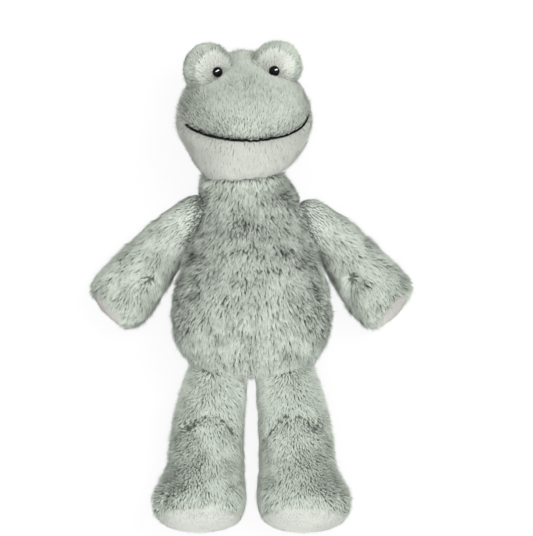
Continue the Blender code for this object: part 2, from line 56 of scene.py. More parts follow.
SEEN_WIDTH, SEEN_HEIGHT = 0.3598, 0.035
CAMERA_HEIGHT = 4.0
CAMERA_PLACE = (0.0101, 0.0121, SEEN_HEIGHT + CAMERA_HEIGHT)
camera_data = bpy.data.cameras.new("camera")
camera_data.sensor_width = 36.0
camera_data.lens = camera_data.sensor_width * CAMERA_HEIGHT / SEEN_WIDTH
camera = bpy.data.objects.new("camera", camera_data)
camera.location = CAMERA_PLACE
scene.collection.objects.link(camera)
scene.camera = camera
scene.view_settings.view_transform = "Standard"


# Table and light
# A pale table that fades to white in the picture and keeps the toy's soft shadow, under
# four soft lamps and an even sky, with a tall window that only the polished eyes mirror.

class Wire:
    """A socket of a node tree. Sums on it add Math nodes."""

    def __init__(self, graph, socket):
        self.graph = graph
        self.socket = socket


def summing(operation, turned):
    """A sum of a wire and another value, in that order or turned."""
    if turned:
        return lambda wire, other: wire.graph.math(operation, other, wire)
    return lambda wire, other: wire.graph.math(operation, wire, other)


SIGNS = {"add": "ADD", "sub": "SUBTRACT", "mul": "MULTIPLY", "truediv": "DIVIDE", "pow": "POWER"}
for sign, operation in SIGNS.items():
    setattr(Wire, f"__{sign}__", summing(operation, False))
    setattr(Wire, f"__r{sign}__", summing(operation, True))


class Graph:
    """A node tree, built one node at a time."""

    def __init__(self, tree):
        self.tree = tree

    def put(self, value, socket):
        """Links a wire to a socket, or sets the socket's own value."""
        if isinstance(value, Wire):
            self.tree.links.new(value.socket, socket)
        else:
            socket.default_value = value

    def found(self, sockets, name):
        if isinstance(name, int):
            return sockets[name]
        return next(one for one in sockets if one.name == name and one.enabled)

    def node(self, kind, inputs=None, out=0, **settings):
        """A node with the values or wires of its sockets and its settings; gives one output."""
        made = self.tree.nodes.new(kind)
        for name, value in settings.items():
            setattr(made, name, value)
        for name, value in (inputs or {}).items():
            self.put(value, self.found(made.inputs, name))
        return Wire(self, self.found(made.outputs, out))

    def math(self, operation, *values):
        return self.node("ShaderNodeMath", dict(enumerate(values)), operation=operation)

    def vectors(self, operation, *values, out=0):
        return self.node("ShaderNodeVectorMath", dict(enumerate(values)), out, operation=operation)

    def scaled(self, vector, factor):
        inputs = {"Vector": vector, "Scale": factor}
        return self.node("ShaderNodeVectorMath", inputs, operation="SCALE")

    def apart(self, vector):
        """The x, y and z of a vector."""
        return [self.node("ShaderNodeSeparateXYZ", {"Vector": vector}, axis) for axis in "XYZ"]

    def together(self, x, y, z):
        return self.node("ShaderNodeCombineXYZ", {"X": x, "Y": y, "Z": z})

    def attribute(self, name):
        return self.node("ShaderNodeAttribute", out="Fac", attribute_name=name)

    def place(self):
        return self.node("ShaderNodeTexCoord", out="Object")

    def noise(self, scale, detail):
        """Noise laid over the object's own coordinates."""
        inputs = {"Vector": self.place(), "Scale": scale, "Detail": detail}
        return self.node("ShaderNodeTexNoise", inputs)

    def mix(self, factor, low, high):
        inputs = {"Factor": factor, "A": low, "B": high}
        return self.node("ShaderNodeMix", inputs, "Result", data_type="RGBA")


def material(name):
    """A new material's graph with its shader's node, ready to be wired."""
    made = bpy.data.materials.new(name)
    made.use_nodes = True
    return made, Graph(made.node_tree), made.node_tree.nodes["Principled BSDF"]


def set_shader(graph, shader, **values):
    """Sets the shader's sockets, by names with underscores for spaces."""
    for key, value in values.items():
        graph.put(value, shader.inputs[key.replace("_", " ")])


def show_white(graph, share, lit, white, output):
    """Mixes what is lit with plain white for the rays that the picture shows."""
    rays = [graph.node("ShaderNodeLightPath", out=f"Is {kind} Ray")
            for kind in ("Camera", "Glossy", "Transmission")]
    shown = graph.math("MINIMUM", rays[0] + rays[1] + rays[2], 1.0)
    mixed = graph.node("ShaderNodeMixShader", {0: shown * share, 1: lit, 2: white})
    graph.put(mixed, graph.tree.nodes[output].inputs["Surface"])


def mesh_object(name, mesh):
    made = bpy.data.objects.new(name, mesh)
    scene.collection.objects.link(made)
    return made


WHITE = (1.0, 1.0, 1.0, 1.0)
TABLE_HALF = 3.0
TABLE_COLOUR = (0.62, 0.62, 0.62, 1.0)
TABLE_SEEN = (0.90, 0.90, 0.90, 1.0)
TABLE_WHITENESS = 0.90
table_mesh = bpy.data.meshes.new("table")
corners = [(x * TABLE_HALF, y * TABLE_HALF, 0.0) for x, y in ((-1, -1), (1, -1), (1, 1), (-1, 1))]
table_mesh.from_pydata(corners, [], [(0, 1, 2, 3)])
table = mesh_object("table", table_mesh)
table_material, graph, shader = material("table_top")
seen = graph.node("ShaderNodeLightPath", out="Is Camera Ray")
set_shader(graph, shader, Base_Color=graph.mix(seen, TABLE_COLOUR, TABLE_SEEN), Roughness=0.9)
glow = graph.node("ShaderNodeEmission", {"Color": WHITE, "Strength": 1.0})
lit = Wire(graph, shader.outputs["BSDF"])
show_white(graph, TABLE_WHITENESS, lit, glow, "Material Output")
table_mesh.materials.append(table_material)

# name, place, width, height, power, colour, whether only polished eyes show it
LAMPS = (
    ("key_light", (0.62, 0.55, 1.40), 0.60, 0.60, 10.8, (1.0, 0.995, 0.985), False),
    ("fill_light", (-0.90, 0.10, 1.20), 0.90, 0.90, 2.2, (0.985, 0.99, 1.0), False),
    ("top_light", (-0.10, 0.00, 1.75), 0.90, 0.90, 9.7, (1.0, 1.0, 1.0), False),
    ("foot_light", (0.10, -1.30, 0.70), 0.80, 0.80, 7.2, (1.0, 1.0, 1.0), False),
    ("window", (0.72, 0.36, 1.40), 0.34, 1.50, 230.0, (1.0, 1.0, 1.0), True),
)
for name, place, width, height, power, colour, mirrored in LAMPS:
    lamp_data = bpy.data.lights.new(name, "AREA")
    lamp_data.shape = "RECTANGLE"
    lamp_data.size = width
    lamp_data.size_y = height
    lamp_data.energy = power
    lamp_data.color = colour
    lamp = bpy.data.objects.new(name, lamp_data)
    lamp.location = place
    lamp.rotation_euler = (-Vector(place)).to_track_quat("-Z", "Y").to_euler()
    lamp.visible_glossy = mirrored
    lamp.visible_diffuse = not mirrored
    scene.collection.objects.link(lamp)

SKY_STRENGTH = 0.42
world = bpy.data.worlds.new("sky")
world.use_nodes = True
scene.world = world
graph = Graph(world.node_tree)
sky, backdrop = (graph.node("ShaderNodeBackground", {"Color": WHITE, "Strength": strength})
                 for strength in (SKY_STRENGTH, 1.0))
show_white(graph, 1.0, sky, backdrop, "World Output")


# Body
# A pear of long-pile cloth, cut in gores, turned and stuffed with fibre. The pile is about
# 6 mm long, brushed down from the neck, and lies in locks with dark partings between them.

MM = 0.001
RING_SIDES = 8
RING_GAIN = 3 / (2 + math.cos(2 * math.pi / RING_SIDES))
ROUNDING = 3
CLOTH_FLOOR = 0.0012


def mesh_from(shape, name):
    """The mesh of a closed form, with its faces outward."""
    bmesh.ops.recalc_face_normals(shape, faces=shape.faces)
    mesh = bpy.data.meshes.new(name)
    shape.to_mesh(mesh)
    shape.free()
    return mesh


def ringed_mesh(name, rings, ring_shaped=False):
    """A closed mesh through rings of points, in mm, whose ends are capped or meet."""
    shape = bmesh.new()
    loops = [[shape.verts.new(Vector(point) * MM) for point in ring] for ring in rings]
    for lower, upper in zip(loops, loops[1:] + loops[:1] * ring_shaped):
        for corner in range(len(lower)):
            after = (corner + 1) % len(lower)
            shape.faces.new((lower[corner], lower[after], upper[after], upper[corner]))
    if not ring_shaped:
        shape.faces.new(loops[0])
        shape.faces.new(loops[-1])
    return mesh_from(shape, name)


def ring_form(name, rows):
    """A stuffed form through rings of centre, two directions, and half sizes, in mm."""
    rings = []
    for centre, across, upward, half_width, half_depth in rows:
        ring = []
        for corner in range(RING_SIDES):
            turn = 2 * math.pi * corner / RING_SIDES
            out = Vector(across) * math.cos(turn) * half_width
            out += Vector(upward) * math.sin(turn) * half_depth
            ring.append(Vector(centre) + out * RING_GAIN)
        rings.append(ring)
    made = mesh_object(name, ringed_mesh(name, rings))
    made.modifiers.new("rounding", "SUBSURF").levels = ROUNDING
    return settle(made)


def settle(piece):
    """The piece with its modifiers turned into a plain mesh."""
    graph = bpy.context.evaluated_depsgraph_get()
    mesh = bpy.data.meshes.new_from_object(piece.evaluated_get(graph))
    piece.modifiers.clear()
    old = piece.data
    piece.data = mesh
    bpy.data.meshes.remove(old)
    return piece


def read(values, name):
    """Rows of three numbers, one for each point."""
    flat = np.empty(len(values) * 3)
    values.foreach_get(name, flat)
    return flat.reshape(-1, 3)


def points_of(piece):
    return read(piece.data.vertices, "co")


def normals_of(piece):
    return read(piece.data.vertex_normals, "vector")


def held(values):
    """The values, held between 0 and 1."""
    return np.clip(values, 0.0, 1.0)


def move_points(piece, points):
    piece.data.vertices.foreach_set("co", points.ravel())
    piece.data.update()


def keep(piece, name, values):
    """Stores numbers or vectors on the points, for the pile and the materials to read."""
    kind = "FLOAT" if values.ndim == 1 else "FLOAT_VECTOR"
    layer = piece.data.attributes.new(name, kind, "POINT")
    layer.data.foreach_set("value" if values.ndim == 1 else "vector", values.ravel())


def copy_of(piece, name):
    made = piece.copy()
    made.data = piece.data.copy()
    made.name = name
    scene.collection.objects.link(made)
    return made


def drawn_in(form, name, depth):
    """A copy of a form with its surface moved inwards, clear of the table."""
    piece = copy_of(form, name)
    points = points_of(piece) - normals_of(piece) * depth
    points[:, 2] = np.maximum(points[:, 2], CLOTH_FLOOR)
    move_points(piece, points)
    return piece


def surface_of(piece):
    shape = bmesh.new()
    shape.from_mesh(piece.data)
    tree = BVHTree.FromBMesh(shape)
    shape.free()
    return tree


def carve(piece, cutters, operation="DIFFERENCE"):
    """Cuts a piece by closed forms, which are then removed."""
    room = bpy.data.collections.new("room")
    for cutter in cutters:
        room.objects.link(cutter)
    cut = piece.modifiers.new("cut", "BOOLEAN")
    cut.operation = operation
    cut.solver = "EXACT"
    cut.operand_type = "COLLECTION"
    cut.collection = room
    settle(piece)
    for cutter in cutters:
        bpy.data.objects.remove(cutter)
    bpy.data.collections.remove(room)
    return piece


def depth_in(tree, point):
    """How deep a point is inside a closed form; below zero outside it."""
    near, normal, _, distance = tree.find_nearest(point)
    return distance if (point - near).dot(normal) < 0 else -distance


def mark_furred(piece, cloth_tree, hiding=(), hidden_depth=0.002):
    """Pile stands on the outer cloth only: not on cut faces, nor inside a neighbour."""
    furred = []
    for face in piece.data.polygons:
        outer = cloth_tree.find_nearest(face.center)[3] < 0.00015
        buried = any(depth_in(tree, face.center) > hidden_depth for tree in hiding)
        furred.append(outer and not buried)
    layer = piece.data.attributes.new("furred", "BOOLEAN", "FACE")
    layer.data.foreach_set("value", furred)


BLADE_BEND = 0.14
BLADE_WAIST = 0.55
blade_mesh = bpy.data.meshes.new("blade")
blade_mesh.from_pydata(
    [
        (0.0, 0.0, 0.0),
        (-0.5, BLADE_BEND, BLADE_WAIST),
        (0.5, BLADE_BEND, BLADE_WAIST),
        (0.0, 0.3 * BLADE_BEND, 1.0),
    ],
    [],
    [(0, 2, 1), (1, 2, 3)],
)
for name, values in (
    ("along", (0.0, BLADE_WAIST, BLADE_WAIST, 1.0)),
    ("side", (0.5, 0.0, 1.0, 0.5)),
):
    blade_mesh.attributes.new(name, "FLOAT", "POINT").data.foreach_set("value", values)
blade_mesh.shade_smooth()
blade = mesh_object("blade", blade_mesh)
blade.hide_render = True


class Steps(Graph):
    """A Geometry Nodes tree with one mesh in, named inputs and one mesh out."""

    def __init__(self, name, entry, inputs, leaving):
        super().__init__(bpy.data.node_groups.new(name, "GeometryNodeTree"))
        self.tree.is_modifier = True
        sockets = self.tree.interface
        for label, kind in {entry: "Geometry", **inputs}.items():
            sockets.new_socket(label, in_out="INPUT", socket_type=f"NodeSocket{kind}")
        sockets.new_socket(leaving, in_out="OUTPUT", socket_type="NodeSocketGeometry")
        start = self.tree.nodes.new("NodeGroupInput")
        self.given = {socket.name: Wire(self, socket) for socket in start.outputs if socket.name}

    def kept(self, name, kind="FLOAT"):
        """What was stored on the points or faces under a name."""
        return self.node("GeometryNodeInputNamedAttribute", {"Name": name}, data_type=kind)

    def chance(self, low, high, extra=0, kind="FLOAT"):
        seed = self.given["Seed"] + extra if extra else self.given["Seed"]
        inputs = {"Min": low, "Max": high, "Seed": seed}
        return self.node("FunctionNodeRandomValue", inputs, "Value", data_type=kind)

    def facing(self, way, side):
        """The turn that points z one way and y to one side."""
        inputs = {"Primary Axis": way, "Secondary Axis": side}
        axes = {"primary_axis": "Z", "secondary_axis": "Y"}
        return self.node("FunctionNodeAxesToRotation", inputs, **axes)

    def planted(self, points, shape, turn, size):
        """An object's mesh on every point, realized."""
        mesh = self.node("GeometryNodeObjectInfo", {"Object": shape}, "Geometry")
        inputs = {"Points": points, "Instance": mesh, "Rotation": turn, "Scale": size}
        made = self.node("GeometryNodeInstanceOnPoints", inputs)
        return self.node("GeometryNodeRealizeInstances", {"Geometry": made})

    def merged(self, *meshes):
        made = self.tree.nodes.new("GeometryNodeJoinGeometry")
        for mesh in meshes:
            self.put(mesh, made.inputs[0])
        return Wire(self, made.outputs[0])

    def coloured(self, mesh, colouring):
        inputs = {"Geometry": mesh, "Material": colouring}
        return self.node("GeometryNodeSetMaterial", inputs)

    def leave(self, mesh):
        self.put(mesh, self.tree.nodes.new("NodeGroupOutput").inputs[0])
        return self.tree


def run_steps(piece, tree, given):
    """Puts a tree on a piece, sets its named inputs and keeps the plain mesh that it makes."""
    steps = piece.modifiers.new(tree.name, "NODES")
    steps.node_group = tree
    for item in tree.interface.items_tree:
        if item.name in given and item.in_out == "INPUT":
            steps[item.identifier] = given[item.name]
    return settle(piece)


PILE_SIZES = ("Density", "Length", "Width", "Lift", "Lock Spacing", "Locking", "Waviness",
              "Wave Size", "Frizz")
PILE_INPUTS = {"Blade": "Object", "Pile Material": "Material",
               **dict.fromkeys(PILE_SIZES, "Float"), "Seed": "Int"}
BLADE_LENGTHS = (0.72, 1.12)
BLADE_WIDTHS = (0.7, 1.3)
STRAY_RARITY = 12.0
STRAY_LENGTH = 0.4
STRAY_FRIZZ = 2.0
BLADE_FLOOR = 0.0002
PILE_CHART = 0.86
CELL_MARGIN = 0.1


def make_pile_tree():
    """Blades scattered over a cloth, combed along its "comb" directions and drawn into locks."""
    g = Steps("pile", "Cloth", PILE_INPUTS, "Furred")
    given = g.given
    place = g.node("GeometryNodeInputPosition")

    def scattered(density, extra):
        inputs = {"Mesh": given["Cloth"], "Selection": g.kept("furred", "BOOLEAN"),
                  "Density": density, "Seed": given["Seed"] + extra}
        points = g.node("GeometryNodeDistributePointsOnFaces", inputs, "Points",
                        distribute_method="RANDOM")
        return points, Wire(g, points.socket.node.outputs["Normal"])

    def unit(vector):
        return g.vectors("NORMALIZE", vector)

    def combed(normal):
        """The direction of a lock: the comb's, laid flat, waved by noise and lifted."""
        comb = g.kept("comb", "FLOAT_VECTOR")
        rise = g.vectors("DOT_PRODUCT", comb, normal, out="Value")
        flat = unit(g.vectors("SUBTRACT", comb, g.scaled(normal, rise)))
        inputs = {"Vector": place, "Scale": 1.0 / given["Wave Size"], "Detail": 1.0}
        swirl = g.node("ShaderNodeTexNoise", inputs, "Color")
        wave = g.scaled(g.vectors("SUBTRACT", swirl, (0.5, 0.5, 0.5)), given["Waviness"])
        lifted = g.scaled(normal, given["Lift"] * g.kept("pile_lift"))
        return unit(g.vectors("ADD", g.vectors("ADD", flat, wave), lifted))

    roots, normal = scattered(given["Density"] * g.kept("pile_density"), 1)
    centres, centre_normal = scattered(1.0 / (given["Lock Spacing"] * given["Lock Spacing"]), 2)
    nearest = g.node("GeometryNodeSampleNearest",
                     {"Geometry": centres, "Sample Position": place}, domain="POINT")

    def at_centre(value):
        inputs = {"Geometry": centres, "Value": value, "Index": nearest}
        return g.node("GeometryNodeSampleIndex", inputs, "Value",
                      data_type="FLOAT_VECTOR", domain="POINT")

    centre = at_centre(place)
    stray = g.chance(0.0, 1.0, 7) ** STRAY_RARITY
    size = g.kept("pile_length") * given["Length"] * g.chance(*BLADE_LENGTHS, 3)
    size = size * (stray * STRAY_LENGTH + 1.0)
    astray = g.scaled(g.vectors("SUBTRACT", place, centre), given["Locking"])
    wanted = g.vectors("SUBTRACT", g.scaled(at_centre(combed(centre_normal)), size), astray)
    loose = g.scaled(g.chance((-1.0,) * 3, (1.0,) * 3, 4, "FLOAT_VECTOR"),
                     given["Frizz"] * (stray * STRAY_FRIZZ + 1.0))
    turn = g.facing(unit(g.vectors("ADD", unit(wanted), loose)), normal)
    breadth = given["Width"] * g.chance(*BLADE_WIDTHS, 5)

    def written(geometry, name, value, kind="FLOAT", domain="POINT"):
        inputs = {"Geometry": geometry, "Name": name, "Value": value}
        return g.node("GeometryNodeStoreNamedAttribute", inputs, data_type=kind, domain=domain)

    roots = written(roots, "tint", g.chance(0.0, 1.0, 6))
    lock_tint = g.node("ShaderNodeTexWhiteNoise", {"Vector": centre}, "Value")
    roots = written(roots, "lock_tint", lock_tint)
    roots = written(roots, "cell", g.node("GeometryNodeInputIndex"))
    total = g.node("GeometryNodeAttributeDomainSize", {"Geometry": roots}, "Point Count",
                   component="POINTCLOUD")
    blades = g.planted(roots, given["Blade"], turn, g.together(breadth, size, size))
    x, y, z = g.apart(place)
    rested = g.together(x, y, g.math("MAXIMUM", z, BLADE_FLOOR))
    blades = g.node("GeometryNodeSetPosition", {"Geometry": blades, "Position": rested})

    columns = g.math("CEIL", g.math("SQRT", total))
    cell = g.kept("cell")
    line = g.math("FLOOR", cell / columns)
    filled = 1.0 - 2.0 * CELL_MARGIN
    u = (cell - line * columns + g.kept("side") * filled + CELL_MARGIN) / columns
    v = (line + g.kept("along") * filled + CELL_MARGIN) / columns * PILE_CHART
    blades = written(blades, "OFBake", g.together(u, v, 0.0), "FLOAT2", "CORNER")
    return g.leave(g.merged(g.coloured(blades, given["Pile Material"]), given["Cloth"]))


PILE_TREE = make_pile_tree()


def chart_cloth(piece):
    """The cloth's own strip of the bake's chart, above the blades' cells."""
    mesh = piece.data
    points = points_of(piece)
    low, high = points.min(0), points.max(0)
    share = (points - low) / np.maximum(high - low, 1e-6)
    corners = np.empty(len(mesh.loops), dtype=int)
    mesh.loops.foreach_get("vertex_index", corners)
    chart = np.stack([share[corners, 0], PILE_CHART + (1 - PILE_CHART) * share[corners, 1]], 1)
    mesh.uv_layers.new(name="OFBake").data.foreach_set("uv", chart.ravel())


def finely(line):
    """A line with seven more points in each of its stretches."""
    line = np.array(line, dtype=float)
    fine = [line[0]]
    for start, end in zip(line, line[1:]):
        fine += [start + (end - start) * step / 8 for step in range(1, 9)]
    return np.array(fine)


def crease(piece, line, depth, reach, comb=None, parting=0.0):
    """Presses a groove along a line of points and parts the pile away from it; mm."""
    points = points_of(piece)
    gaps = points[:, None, :] - finely(line)[None, :, :] * MM
    distances = np.linalg.norm(gaps, axis=2)
    nearest = distances.argmin(1)
    rows = np.arange(len(points))
    distance = distances[rows, nearest]
    fade = np.exp(-((distance / (reach * MM)) ** 2))[:, None]
    if comb is not None:
        comb += gaps[rows, nearest] / np.maximum(distance, 1e-6)[:, None] * fade * parting
    move_points(piece, points - normals_of(piece) * fade * depth * MM)


def near_line(piece, line, reach):
    """1 on a line of points, fading to 0 at the reach; mm."""
    gaps = points_of(piece)[:, None, :] / MM - finely(line)[None, :, :]
    return held(1.0 - np.linalg.norm(gaps, axis=2).min(1) / reach)


def close_to(piece, tree, reach):
    """1 on a neighbour's surface, fading to 0 at the reach; mm."""
    found = [tree.find_nearest(point.co)[3] / (reach * MM) for point in piece.data.vertices]
    return held(1.0 - np.array(found))


def openness(piece, spots, side=1):
    """How far the pile stands open round some spots, seen from above: x, y, reach, amount."""
    points = points_of(piece) / MM
    total = np.zeros(len(points))
    for x, y, reach, amount in spots:
        squares = (points[:, 0] - side * x) ** 2 + (points[:, 1] - y) ** 2
        total += amount * np.exp(-squares / reach**2)
    return total * (points[:, 2] > FRONT_HEIGHT)


def laid_on(tree, line, side=1):
    """Points of a line, given seen from above in mm, on the surface below them."""
    found = []
    for x, y in line:
        hit = tree.ray_cast(Vector((side * x, y, 200.0)) * MM, Vector((0.0, 0.0, -1.0)))[0]
        if hit is not None:
            found.append(tuple(hit / MM))
    return found


def patches(piece, size, offset):
    """Smooth random values from about -1 to 1 over a surface, in patches of a size in mm."""
    shift = Vector((offset, 2.0 * offset, 0.0))
    return np.array([noise.noise(point.co / (size * MM) + shift) for point in piece.data.vertices])


FRONT_HEIGHT = 15.0
LENGTH_SWING, LENGTH_PATCH = 0.30, 3.5
LIFT_SWING, LIFT_PATCH = 0.45, 7.0


def dress(piece, one_material):
    piece.data.materials.clear()
    piece.data.materials.append(one_material)


def grow_pile(piece, cloth_material, pile_material, sizes, seed, comb,
              length=1.0, density=1.0, lift=1.0, shade=0.0):
    """Turns a bare cloth into one furred piece: the cloth and its pile in one mesh."""
    even = np.ones(len(piece.data.vertices))
    keep(piece, "pile_lift", lift * (1.0 + LIFT_SWING * patches(piece, LIFT_PATCH, seed)))
    keep(piece, "comb", np.array(comb, dtype=float))
    swing = LENGTH_SWING * patches(piece, LENGTH_PATCH, seed + 0.5)
    keep(piece, "pile_length", length * (1.0 + swing))
    keep(piece, "pile_density", even * density)
    # Painted light and shade: above zero lighter and below zero darker along the pile's colours.
    keep(piece, "shade", even * shade)
    dress(piece, cloth_material)
    piece.data.shade_smooth()
    chart_cloth(piece)
    own = {"Blade": blade, "Pile Material": pile_material, "Seed": seed}
    return run_steps(piece, PILE_TREE, {**sizes, **own})


TINT_MOTTLE = 0.25


def pile_material(name, root, middle, tip, mottle, patch_size):
    """A pile: painted shade of its depth makes it dark at its roots and pale at its tips; mottled
    lock by lock and patch by patch.
    """
    made, g, shader = material(name)
    wide = (g.noise(1.0 / patch_size, 2.0) - 0.5) * mottle * 2.0
    fine = (g.attribute("tint") - 0.5) * TINT_MOTTLE
    shade = (g.attribute("lock_tint") - 0.5) * mottle + fine + wide
    # The stored shade is painted light and shade, laid on top of the random mottle.
    height = g.attribute("along") + shade + g.attribute("shade")
    ramp = g.node("ShaderNodeValToRGB", {"Fac": height}, "Color")
    stops = ramp.socket.node.color_ramp.elements
    for stop, (spot, colour) in zip(stops, ((0.02, root), (0.95, tip))):
        stop.position = spot
        stop.color = colour
    stops.new(0.42).color = middle
    set_shader(g, shader, Base_Color=ramp, Roughness=0.9, Specular_IOR_Level=0.0)
    return made


def cloth_material(name, colour):
    """The knitted backing that the pile stands on."""
    made, g, shader = material(name)
    dark = tuple(0.7 * part for part in colour[:3]) + (1.0,)
    set_shader(g, shader, Base_Color=g.mix(g.noise(900.0, 1.0), dark, colour), Roughness=0.95)
    return made


def hand_over(piece, body_name, node, seam=None):
    """Ties a piece to its body, or with a seam leaves it in place untied, and hides its node's
    solid.
    """
    if seam:
        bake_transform(piece)
    else:
        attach(piece, body_name)
    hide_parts(node)


def make_filling(name, form, depth, body_name, node, seam=None, cutters=()):
    """The fibre inside a skin: the same form, smaller all round."""
    filling = drawn_in(form, name, depth)
    if cutters:
        carve(filling, cutters)
    dress(filling, fibre)
    hand_over(filling, body_name, node, seam)


def finish_plush(piece, body_name, node, seam=None):
    hand_over(piece, body_name, node, seam)


# The long pile's dark roots and dark backing cloth are painted shade of the pile's depth.
LONG_ROOT = (0.065, 0.085, 0.07, 1.0)
LONG_MIDDLE = (0.59, 0.64, 0.575, 1.0)
LONG_TIP = (0.86, 0.91, 0.84, 1.0)
LONG_CLOTH = (0.13, 0.155, 0.13, 1.0)
long_pile = pile_material("long_pile", LONG_ROOT, LONG_MIDDLE, LONG_TIP, 0.42, 0.013)
long_cloth = cloth_material("long_pile_cloth", LONG_CLOTH)
fibre = cloth_material("fibre_filling", (0.85, 0.85, 0.83, 1.0))

UPRIGHT = ((1.0, 0.0, 0.0), (0.0, 0.0, 1.0))
# centre in mm, half width, half depth
BODY_ROWS = (
    (0.0, -61.0, 31.4, 25.9, 16.1),
    (0.0, -54.6, 31.0, 40.2, 25.5),
    (0.0, -39.4, 33.9, 50.8, 34.5),
    (0.0, -19.0, 39.3, 54.5, 39.7),
    (0.0, 3.4, 37.8, 50.2, 38.5),
    (0.0, 27.8, 34.1, 42.1, 34.5),
    (-0.9, 50.2, 30.5, 36.2, 29.4),
    (-2.0, 60.0, 31.0, 35.2, 27.0),
    (-5.0, 69.2, 31.4, 29.4, 24.4),
    (-6.0, 81.5, 32.2, 27.6, 23.2),
)
# the same, tilted by degrees about the x axis
LEG_ROWS = (
    (21.5, -49.0, 31.4, 18.6, 17.0, 0.0),
    (22.3, -60.0, 28.0, 19.9, 21.5, 0.0),
    (26.4, -78.0, 22.5, 22.6, 21.9, 0.0),
    (29.7, -104.0, 21.9, 24.8, 22.2, 0.0),
    (29.7, -120.0, 23.0, 24.7, 23.4, 2.0),
    (32.4, -131.5, 25.0, 27.8, 25.8, 6.0),
    (35.2, -147.0, 28.0, 33.6, 28.8, 13.0),
    (35.1, -163.7, 22.5, 26.1, 22.6, 17.0),
)
# centre in mm, half width, half depth, facing
ARM_ROWS = (
    (43.8, 41.3, 25.0, 17.9, 13.0, (0.5479, 0.8365)),
    (58.4, 28.4, 15.1, 17.3, 15.6, (0.6676, 0.7445)),
    (74.8, 7.8, 17.9, 21.3, 18.4, (0.6813, 0.7320)),
    (89.0, -9.8, 18.9, 23.7, 19.4, (0.7009, 0.7133)),
    (98.6, -18.1, 15.7, 18.4, 15.2, (0.7009, 0.7133)),
)
# across, along, forward, half width, half depth in mm, in the head's own directions
HEAD_ROWS = (
    (-3.2, -14.5, 9.0, 14.5, 13.0),
    (-2.2, -11.5, 9.2, 24.5, 22.5),
    (0.3, -4.3, 10.0, 33.8, 32.4),
    (1.2, 7.7, 10.6, 40.6, 39.6),
    (0.2, 21.9, 10.4, 47.0, 43.4),
    (1.6, 36.5, 7.6, 44.2, 40.0),
    (2.4, 50.7, 0.9, 37.0, 31.4),
    (2.6, 62.6, -5.2, 23.0, 21.1),
    (3.2, 69.3, -6.9, 11.5, 12.0),
    (3.2, 71.6, -7.0, 5.5, 6.0),
)
HEAD_PLACE = Matrix((
    (0.9825, -0.0395, 0.1822, -0.0061),
    (0.0401, 0.9992, 0.0000, 0.08595),
    (-0.1821, 0.0073, 0.9833, 0.03218),
    (0.0, 0.0, 0.0, 1.0),
))


def upright_form(name, rows):
    return ring_form(name, [((x, y, z), *UPRIGHT, w, d) for x, y, z, w, d in rows])


def leg_form(name, side):
    rows = []
    for x, y, z, w, d, tilt in LEG_ROWS:
        turn = math.radians(tilt)
        upward = (0.0, math.sin(turn), math.cos(turn))
        rows.append(((side * x, y, z), (1.0, 0.0, 0.0), upward, w, d))
    return ring_form(name, rows)


# the first row of each side, and how much higher the next one sits on the chest
ARM_ROOTS = {
    1: ((25.0, 50.8, 31.4, 14.8, 11.4, (0.3434, 0.9392)), 0.5),
    -1: ((25.0, 53.6, 34.9, 17.4, 11.4, (0.3434, 0.9392)), 2.5),
}


def arm_form(name, side):
    first, raised = ARM_ROOTS[side]
    rows = []
    for number, (x, y, z, w, d, (across, along)) in enumerate((first, *ARM_ROWS)):
        centre = (side * x, y, z + (raised if number == 1 else 0.0))
        rows.append((centre, (side * across, along, 0.0), (0.0, 0.0, 1.0), w, d))
    return ring_form(name, rows)


body_whole = upright_form("body_whole", BODY_ROWS)
head_whole = upright_form("head_whole", HEAD_ROWS)
head_whole.data.transform(HEAD_PLACE)
arms_whole = {side: arm_form("arm_whole", side) for side in (1, -1)}
legs_whole = {side: leg_form("leg_whole", side) for side in (1, -1)}
body_tree = surface_of(body_whole)
head_tree = surface_of(head_whole)
arm_trees = {side: surface_of(form) for side, form in arms_whole.items()}
leg_trees = {side: surface_of(form) for side, form in legs_whole.items()}


def neighbours():
    """Copies of the head and limbs, which cut room for themselves out of the body."""
    wholes = [head_whole]
    for side in (1, -1):
        wholes += [arms_whole[side], legs_whole[side]]
    return [copy_of(form, "room_cutter") for form in wholes]


BODY_PILE = {
    "Density": 6.0e6, "Length": 0.0060, "Width": 0.00028, "Lift": 0.72,
    "Lock Spacing": 0.0015, "Locking": 1.05, "Waviness": 1.6, "Wave Size": 0.009,
    "Frizz": 0.13,
}
BODY_INSET = 0.0026
BODY_FILLING_DEPTH = 0.0042
# seen from above in mm: two short folds that the gathered neck pulls into the chest
NECK_FOLDS = (((-6.8, 66.0), (-6.2, 54.0)), ((7.4, 66.0), (6.6, 54.0)))
# x, y, reach in mm and amount, where the pile has been rubbed open and painted shade darkens it;
# below zero it lies flat under painted light
BODY_OPEN = (
    (-33.0, 62.0, 12.0, 0.5),
    (25.0, 62.0, 9.0, 0.5),
    (-12.0, 20.0, 14.0, 0.2),
    (-46.0, -18.0, 16.0, 0.8),
    (47.0, -18.0, 16.0, 1.6),
    (-36.0, 20.0, 10.0, 0.8),
    (38.0, 20.0, 10.0, 0.8),
    (-10.0, -22.0, 10.0, 0.3),
    (8.0, 25.0, 9.0, -0.5),
    (-7.0, 27.0, 6.0, -0.3),
    (-20.0, 10.0, 10.0, -0.6),
    (21.0, 11.0, 9.0, -0.6),
    (13.0, -15.0, 9.0, -0.7),
    (0.0, 38.0, 9.0, 0.3),
    (0.0, -56.0, 16.0, 1.1),
    (-24.0, -50.0, 12.0, 0.7),
    (24.0, -50.0, 12.0, 0.7),
    (0.0, 68.0, 13.0, -0.6),
    (-14.0, 74.0, 8.0, -0.4),
    (14.0, 74.0, 8.0, -0.4),
)
ARMHOLE_REACH, ARMPIT_REACH, CHIN_REACH = 3.5, 10.0, 7.0
body = drawn_in(body_whole, "body_plush", BODY_INSET)
for line in NECK_FOLDS:
    crease(body, laid_on(body_tree, line), 2.6, 2.2)
